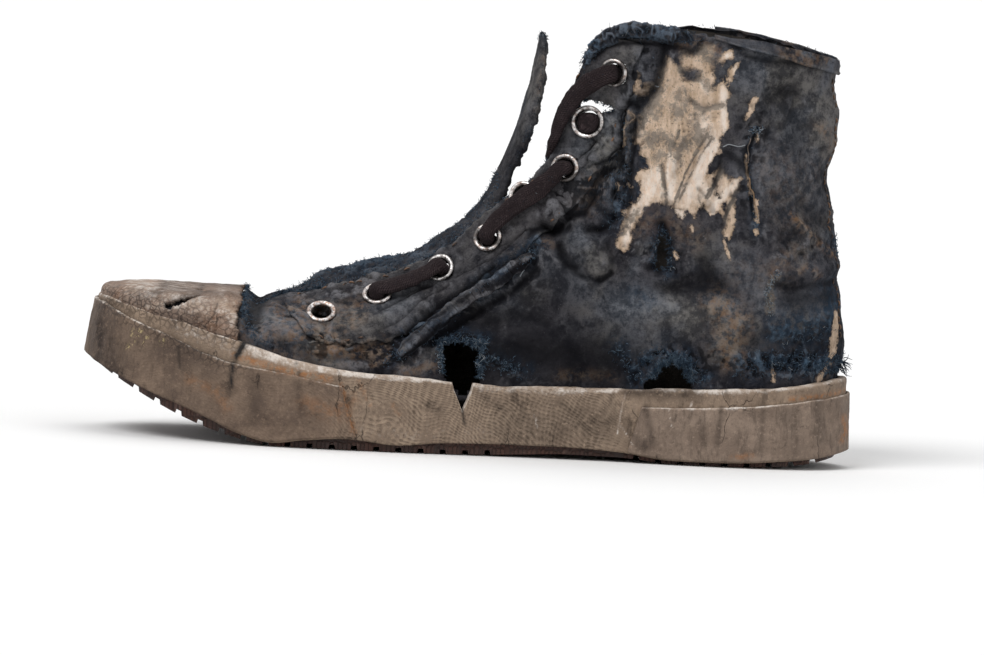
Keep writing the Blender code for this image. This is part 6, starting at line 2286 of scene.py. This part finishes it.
def make_collar_roll():
    """The matted, fraying edge of the flap, from its front up to the collar's front."""
    u, v, path = edge_path(ROLL_START, COLLAR_FRONT, COLLAR_POINTS, "outer", ROLL_DROP, ROLL_OVER)
    size = along(COLLAR_POINTS, (0, 0.1, 0.5, 0.85, 1), (1.2, 2.7, 3.1, 3, 1.4))[:, None]
    face = skin_normal(u, v)
    side = np.cross(face, heading(path))
    ring = ring_round(side, face, ROLL_SIDES)
    tube = path[:, None] + size[..., None] * ring
    mat, mat_relief = matting(tube, np.ones(tube.shape[:2]))
    lumpy = 1 + 0.22 * rough(path[:, None] + 2.5 * ring, 5, 2, 101)
    points = path[:, None] + (size * lumpy + 0.75 * mat - 0.3)[..., None] * ring
    layers = {
        "blue": np.clip(0.6 + 0.5 * noise(points, 7, 105), 0, 1),
        "relief": np.clip(0.5 + mat_relief, 0, 1),
        # Painted light: a highlight on the roll's upper side and shade under it
        "dust_and_highlight": 0.3 * np.clip(ring[..., 2], 0, 1),
        "shade": 0.7 * np.clip(-ring[..., 2], 0, 1),
        "weave": cloth_directions(points),
    }
    loft("frayed_collar_roll", points, facing_cloth, layers=layers)
    return path


collar_roll_path = make_collar_roll()


HEM_THICK = 0.8


def make_hem():
    """The collar's folded tape, behind the tear: flat, with a corded lower edge, its front twisted."""
    u = np.linspace(HEM_START, HEM_END, COLLAR_POINTS)
    width = along(COLLAR_POINTS, (0, 0.08, 0.22, 0.5, 1), (1.2, 3.4, 5.2, 4.4, 4.6))
    lift = along(COLLAR_POINTS, (0, 0.06, 0.16, 0.3, 1), (0.6, 2.2, 1.2, 0.8, 0.8))
    length = rib_lengths(u)
    across = np.linspace(0, 1, HEM_ROWS)
    down = width[:, None] * (1 - across)
    v = 1 - down / length[:, None]
    us = np.repeat(u[:, None], len(across), 1)
    cord = 0.55 * hump(across - 0.1, 0.1) + 0.25 * np.sin(math.pi * across)
    base = skin(us, v)
    height = np.concatenate([crumple(us[rows], v[rows], side)[0] for side, rows in halves(u)])
    height = height + lift[:, None] * (0.4 + 0.6 * (1 - across)) + cord + 0.15 * rough(base, 4, 2, 111)
    points = over_skin(us, v, height)
    points[..., 2] += 0.5 * rough(points, 12, 2, 113) * across
    layers = {
        # A little dust, and a painted highlight along the corded lower edge
        "dust_and_highlight": np.broadcast_to(0.15 + 0.5 * hump(across - 0.12, 0.1), us.shape),
        "earth": 0.55 * np.clip(0.15 + rough(base, 9, 2, 115), 0, 1),
        "blue": 0.3 + 0 * us,
        "shade": np.zeros(us.shape),
        "relief": 0.5 + 0.3 * rough(points, 4, 3, 117),
        "weave": cloth_directions(points),
    }
    hem = piece("collar_hem", points, grid_faces(*us.shape), facing_cloth, layers=layers)
    thicken(hem, HEM_THICK)


make_hem()

# ---------------------------------------------------------------- stitching

STITCH_LONG = 2.4
STITCH_PITCH = 3.1
STITCH_THICK = 0.34
STITCH_BOW = np.array([-0.25, 0.15, 0.25, 0.15, -0.25])
STITCH_TAPER = np.array([0.6, 1, 1, 1, 0.6])
STITCH_ROUND = 5


def stitches(name, lines, finish, missing, seed):
    """Rows of sewn stitches as one mesh: each a short bowed bar, lying on the cloth."""
    draw = np.random.default_rng(seed)
    rungs = len(STITCH_BOW)
    starts = 0
    points, faces = [], []
    for line, normal in lines:
        run = arc_lengths(line, 0)
        for place in np.arange(1.0, run[-1] - STITCH_LONG, STITCH_PITCH):
            if draw.uniform() < missing:
                continue
            share = np.linspace(0, STITCH_LONG, rungs) + place
            middle = np.stack([np.interp(share, run, line[:, k]) for k in range(3)], -1)
            up = unit(np.array([np.interp(share, run, normal[:, k]) for k in range(3)]).T)
            middle = middle + up * STITCH_BOW[:, None]
            side = np.cross(heading(middle), up)
            size = STITCH_THICK * STITCH_TAPER[:, None, None]
            points.append((middle[:, None] + size * ring_round(side, up, STITCH_ROUND)).reshape(-1, 3))
            faces += (grid_faces(rungs, STITCH_ROUND, closed=True) + starts).tolist()
            end = starts + (rungs - 1) * STITCH_ROUND
            faces.append(list(range(starts, starts + STITCH_ROUND)))
            faces.append(list(range(end, end + STITCH_ROUND))[::-1])
            starts += rungs * STITCH_ROUND
    return piece(name, np.concatenate(points), faces, finish)


FACING_ROWS = (2, 31)  # where the two rows of stitches run, counted across the facing
HEEL_SEAM = (("outer", 15.35), ("inner", 16.65))
HEEL_SEAM_POINTS = 90


def seam_line(places, side, over):
    """A seam's line over the worn cloth, with the cloth's normal along it."""
    u, v = places[..., 0], places[..., 1]
    return worn_point(u, v, side, over), skin_normal(u, v)


def make_stitching():
    waxed = tan_thread_finish()
    for side in ("outer", "inner"):
        grid = facings[side]["grid"][6:-6]
        over = CURVED_GAP + EYESTAY_THICK + 0.42
        rows = [seam_line(grid[:, row], side, over) for row in FACING_ROWS]
        stitches(f"facing_stitches_{side}", rows, waxed, missing=0.8, seed=7)
    rows = []
    for side, u in HEEL_SEAM:
        v = np.linspace(0.16, 0.965, HEEL_SEAM_POINTS)
        rows.append(seam_line(np.stack([u + 0 * v, v], -1), side, 0.15))
    stitches("heel_seam_stitches", rows, waxed, missing=0.2, seed=9)


make_stitching()

# ---------------------------------------------------------------- frayed threads


LOWEST_ROOT = 0.02  # no thread grows below this v


def wall_roots(wall, weight, count, seed):
    """Random points of the cloth, drawn by weight, with the cloth's normal there."""
    draw = np.random.default_rng(seed)
    weight = np.where(wall["gone"] | (wall["v"] < LOWEST_ROOT), 0, weight).ravel()
    picked = draw.choice(weight.size, count, p=weight / weight.sum())
    points = wall["points"].reshape(-1, 3)[picked] + draw.uniform(-0.3, 0.3, (count, 3))
    return points, wall["normal"].reshape(-1, 3)[picked], draw


def toward(at_from, outline):
    """Directions, as seen from the side, towards the middle of an outline."""
    middle = np.mean(outline, 0)
    flat = unit(middle - at_from[:, [0, 2]])
    return np.stack([flat[:, 0], 0 * flat[:, 0], flat[:, 1]], -1)


def fray_hole(name, outline, count, length, seed, width=1.6, blue=0.8, white=WHITE_SHARE):
    """Threads round the rim of a hole, hanging into it."""
    weight = hump(depth_inside(outer_wall["at"], outline), width)
    roots, normal, draw = wall_roots(outer_wall, weight, count, seed)
    heads = toward(roots, outline) * draw.uniform(-0.2, 1.0, (count, 1))
    heads = heads + 0.7 * normal + 0.35 * draw.normal(size=(count, 3))
    threads(name, roots, heads, length, curl=0.9, blue=blue, seed=seed, white=white)


def fray_edge(name, first, last, side, count, length, seed, inwards=0.5, over=0.4, blue=0.5):
    """Threads along the opening's torn edge."""
    draw = np.random.default_rng(seed)
    u = draw.uniform(first, last, count)
    v = 1 - np.abs(draw.normal(0, 0.012, count))
    roots = worn_point(u, v, side, over * draw.uniform(-1, 1, count))
    normal = skin_normal(u, v)
    climb = unit(skin(u, np.full(count, 1.0)) - skin(u, np.full(count, 0.97)))
    heads = climb * draw.uniform(0.2, 1, (count, 1)) + inwards * normal + 0.4 * draw.normal(size=(count, 3))
    threads(name, roots, heads, length, curl=0.6, blue=blue, seed=seed + 1)


# Tufts of white lint: strength, half width, line
PALE_TUFTS = (
    (1, 1.5, 105.6, 132, 107, 131.2, 108.6, 131.4),
    (0.75, 1.2, 117.7, 76.2, 115.7, 71.7, 113.9, 68.7, 115.2, 64.4, 116.6, 60.8),
)


def fray_stains(name, wall, table, count, length, seed, curl, thick, blue=0.85, white=WHITE_SHARE):
    """Threads standing out of the matted cloth along the lines of a table."""
    weight = stroke_strength(wall["at"], table) ** 2
    roots, normal, draw = wall_roots(wall, weight, count, seed)
    heads = normal + 0.9 * draw.normal(size=(count, 3)) + np.array([0, 0, -0.3])
    threads(name, roots, heads, length, thick, curl, blue, seed, white)


def fray_tongue(name, rows, columns, count, length, aim, blue, seed, thick=THREAD_THICK):
    """Threads from the tongue, rooted between its front and back, leaning the way of aim."""
    draw = np.random.default_rng(seed)
    i, j = draw.choice(rows, count), draw.choice(columns, count)
    depth = draw.uniform(0, 1, (count, 1)) if aim is not None else 0.0
    roots = tongue["front"][i, j] * (1 - depth) + tongue["back"][i, j] * depth
    heads = tongue["normal"][i, j] if aim is None else aim(tongue["across"][j])
    heads = heads + 0.7 * draw.normal(size=(count, 3))
    threads(name, roots, heads, length, thick, 0.7, blue, seed + 1)


def fray_line(name, path, spread, count, length, seed, thick=THREAD_THICK, blue=0.5):
    """Threads standing out all round a cord."""
    draw = np.random.default_rng(seed)
    picked = draw.integers(2, len(path) - 2, count)
    out = unit(draw.normal(size=(count, 3)))
    threads(name, path[picked] + spread * out, out, length, thick, 0.7, blue, seed + 1)


CAP_THREADS = 620


def fray_toe_cap():
    """Threads of the torn vamp, just behind the toe cap."""
    draw = np.random.default_rng(214)
    levels = np.linspace(0.02, 0.99, 80)
    u = draw.uniform(-3.4, 4.2, CAP_THREADS)
    line = skin(np.repeat(u[:, None], len(levels), 1), np.tile(levels, (CAP_THREADS, 1)))
    v = np.array([np.interp(TOE_CAP_REAR_X + 0.6, xs, levels) for xs in line[..., 0]])
    back = (v > 0.03) & (v < 0.985)
    u, v = u[back], v[back]
    count = len(u)
    roots = over_skin(u, v, draw.uniform(0.2, 1.6, count))
    heads = np.array([0.9, 0, -0.1]) + 0.6 * skin_normal(u, v) + 0.5 * draw.normal(size=(count, 3))
    size = np.interp(v, (0, 0.5, 1), (3.6, 2.8, 1.8))
    threads("fray_behind_toe_cap", roots, heads, size, curl=0.65, blue=0.6, seed=215)


# Long threads lying on the cloth: radius, share of pale, share of tan, line
LOOSE_THREADS = (
    (0.2, 0.8, 0.3, 94.5, 124.2, 97, 125.2, 100, 124.6, 103, 125.2),
    (0.2, 0, 1, 105.4, 113, 106, 109, 107.6, 106.4, 108.6, 101, 109.3, 96.5),
    (0.22, 0.9, 0.2, 18.6, 69.6, 20, 72.2),
    (0.2, 0.2, 0.5, 105.2, 128, 104.8, 124, 105.2, 118),
    (0.2, 0.2, 0.8, 57.6, 136, 59.6, 134.4, 58.2, 131.6),
    (0.22, 0.1, 0, 52.6, 113, 54.5, 107, 53, 100, 54.6, 95),
)


def lay_threads():
    """A few long threads pulled out of the cloth and lying on it."""
    for number, (radius, pale, tan, *line) in enumerate(LOOSE_THREADS, 1):
        spots = [find_on_skin(x, z) for x, z in np.reshape(line, (-1, 2))]
        u, v = smooth_path(spots, 24).T
        path = worn_point(u, v, "outer", radius + 0.25)
        path += 0.25 * np.stack([rough(path, 2.2, 2, seed + number) for seed in (231, 241, 251)], -1)
        face = skin_normal(u, v)
        side = unit(np.cross(heading(path), face))
        sections = path[:, None] + radius * ring_round(side, face, 5)
        same = np.ones(sections.shape[:2])
        layers = {"pale": pale * same, "tan": tan * same}
        loft(f"loose_thread_{number}", sections, fray, layers=layers)


def sideways(across):
    """Out from the tongue's middle, for its edges."""
    return np.sign(across)[:, None] * np.array([0.25, 1.0, 0.0])


def upwards(across):
    """Up and a little forward, for the tongue's tip."""
    return np.tile([-0.2, 0, 1.0], (len(across), 1))


HEEL_SPIKE_ROOTS = ((145.6, -6, 40), (146.2, -8, 41), (145.4, -4, 39), (146, -5, 41), (145.8, -7, 40))
HEEL_SPIKE_LEAN = (1.0, -0.1, -0.35)


def make_heel_spike():
    """A stiff tuft that stands out of the heel, just above the sole."""
    roots = np.array(HEEL_SPIKE_ROOTS * 8, float)
    roots += np.random.default_rng(221).normal(size=roots.shape)
    heads = np.tile(HEEL_SPIKE_LEAN, (len(roots), 1))
    threads("heel_spike", roots, heads, 5.0, thick=0.2, curl=0.3, blue=0.3, seed=222)


def make_frays():
    fray_hole("fray_quarter_hole", QUARTER_HOLE, 750, 3.2, 201, white=0.12)
    fray_hole("fray_heel_hole", HEEL_HOLE, 1000, 3.4, 202)
    fray_hole("fray_ankle_slit", ANKLE_SLIT, 240, 3.4, 203, 1.4, 0.5)
    fray_hole("fray_eyelet_tear", EYELET_TEAR, 240, 2.2, 204, 0.8, 0.5)
    fray_stains("fray_patches_outer", outer_wall, OUTER_FUZZ, 3500, 2.5, 205, 1.1, 0.14)
    fray_stains("fray_patches_inner", inner_wall, INNER_FUZZ, 360, 3.4, 206, 0.9, 0.14)
    fray_stains("fray_facing", facings["outer"], FACING_FUZZ, 700, 2.2, 226, 1.0, 0.15, 0.9)
    fray_stains("fray_pale_tufts", outer_wall, PALE_TUFTS, 330, 2.0, 223, 1.0, 0.17, 0.9, 0.5)
    lay_threads()
    fray_edge("fray_throat_outer", 1.6, 10.6, "outer", 800, 2.4, 207, blue=0.6)
    fray_edge("fray_throat_toe", 1.2, 4.4, "outer", 420, 3.2, 224, inwards=0.2, blue=0.4)
    fray_edge("fray_throat_inner", 21.0, 31.0, "inner", 500, 3.0, 208, blue=0.6)
    fray_edge("fray_collar_rear", COLLAR_FRONT, 19.6, "outer", 240, 1.6, 209, over=0.8, blue=0.2)
    fray_line("fray_collar_mat", collar_roll_path, 2.5, 1700, 1.75, 210, 0.13, 0.2)
    fray_line("fray_collar_long", collar_roll_path, 2.0, 70, 6.5, 211, blue=0.3)
    in_throat = np.nonzero(np.abs(tongue["steps"] - 4.6) < 3.2)[0]
    standing = np.nonzero(tongue["steps"] > 8.0)[0]
    edges, tip_rows = (0, TONGUE_POINTS - 1), (TONGUE_ROWS - 2, TONGUE_ROWS - 1)
    fray_tongue("fray_tongue_throat", in_throat, range(5, 42), 1500, 2.3, None, 0.7, 212)
    fray_tongue("fray_tongue_edges", standing, edges, 560, 1.0, sideways, 0.2, 213, 0.13)
    fray_tongue("fray_tongue_tip", tip_rows, range(12, 37), 160, 2.2, upwards, 0.2, 214)
    fray_toe_cap()
    fray_line("fray_roll", roll_path, 1.5, 420, 1.9, 216, blue=0.95)
    for number, (key, path) in enumerate(lace_paths.items()):
        fray_line(f"lace_hairs_{key}", path, 1.9, 260, 1.3, 217 + number, 0.08, 0.0)
    make_heel_spike()


make_frays()

# ---------------------------------------------------------------- studio

CAMERA_ELEVATION = 3.6
CAMERA_ROLL = 3.02
CAMERA_DISTANCE = 5000.0
CAMERA_AIM = (8.8, -12, 48)
FRAME_WIDTH = 383.5
SENSOR = 36.0
CAMERA_REACH = 300  # metres, past the floor's far edge
WORLD_LIGHT = 0.42
FLOOR_SIZE = 160.0  # metres, out to the horizon
FLOOR_LEVEL = -0.0002
LIGHT_AIM = (0, 0, 0.06)


def make_camera():
    angle = math.radians(CAMERA_ELEVATION)
    aim = Vector(CAMERA_AIM)
    away = Vector((0, -math.cos(angle), math.sin(angle)))
    data = bpy.data.cameras.new("camera")
    data.sensor_width = SENSOR
    data.lens = SENSOR * CAMERA_DISTANCE / FRAME_WIDTH
    camera = bpy.data.objects.new("camera", data)
    bpy.context.scene.collection.objects.link(camera)
    facing = away.to_track_quat("Z", "Y").to_matrix().to_4x4()
    roll = Matrix.Rotation(math.radians(CAMERA_ROLL), 4, "Z")
    camera.matrix_world = Matrix.Translation((aim + away * CAMERA_DISTANCE) * MM) @ facing @ roll
    data.clip_end = CAMERA_REACH
    bpy.context.scene.camera = camera


def make_floor():
    f = Finish("studio_floor", roughness=0.95)
    seen = f.add("LightPath").outputs["Is Camera Ray"]
    f.tree.links.new(f.mix(seen, (0.70, 0.70, 0.70), (0.99, 0.99, 0.99)), f.shader.inputs["Base Color"])
    bpy.ops.object.select_all(action="DESELECT")
    bpy.ops.mesh.primitive_plane_add(size=FLOOR_SIZE, location=(0, 0, FLOOR_LEVEL))
    floor = bpy.context.object
    floor.name = "floor"
    floor.data.materials.append(f.material)


def make_world():
    world = bpy.data.worlds.new("studio")
    bpy.context.scene.world = world
    world.use_nodes = True
    tree = world.node_tree
    path = tree.nodes.new("ShaderNodeLightPath")
    seen = path.outputs["Is Camera Ray"]
    for other in ("Is Glossy Ray", "Is Transmission Ray"):
        either = tree.nodes.new("ShaderNodeMath")
        either.operation = "MAXIMUM"
        tree.links.new(seen, either.inputs[0])
        tree.links.new(path.outputs[other], either.inputs[1])
        seen = either.outputs[0]
    level = tree.nodes.new("ShaderNodeMapRange")
    level.inputs["To Min"].default_value = WORLD_LIGHT
    level.inputs["To Max"].default_value = 1.0
    tree.links.new(seen, level.inputs["Value"])
    background = tree.nodes["Background"]
    background.inputs["Color"].default_value = (1, 1, 1, 1)
    tree.links.new(level.outputs["Result"], background.inputs["Strength"])


def add_soft_light(name, place, strength, spread):
    """A distant soft source: it lights the floor evenly out to the horizon."""
    data = bpy.data.lights.new(name, "SUN")
    data.angle = math.radians(spread)
    data.energy = strength
    lamp = bpy.data.objects.new(name, data)
    bpy.context.scene.collection.objects.link(lamp)
    lamp.location = place
    lamp.rotation_euler = (Vector(LIGHT_AIM) - Vector(place)).to_track_quat("-Z", "Y").to_euler()


make_camera()
make_floor()
make_world()
add_soft_light("key_light", (-0.8, -1.1, 1.7), 1.5, 30)
add_soft_light("fill_light", (1.4, -1.3, 0.9), 0.35, 60)
add_soft_light("top_light", (0.2, 0.7, 1.8), 0.7, 50)
bpy.context.scene.view_settings.view_transform = "Standard"
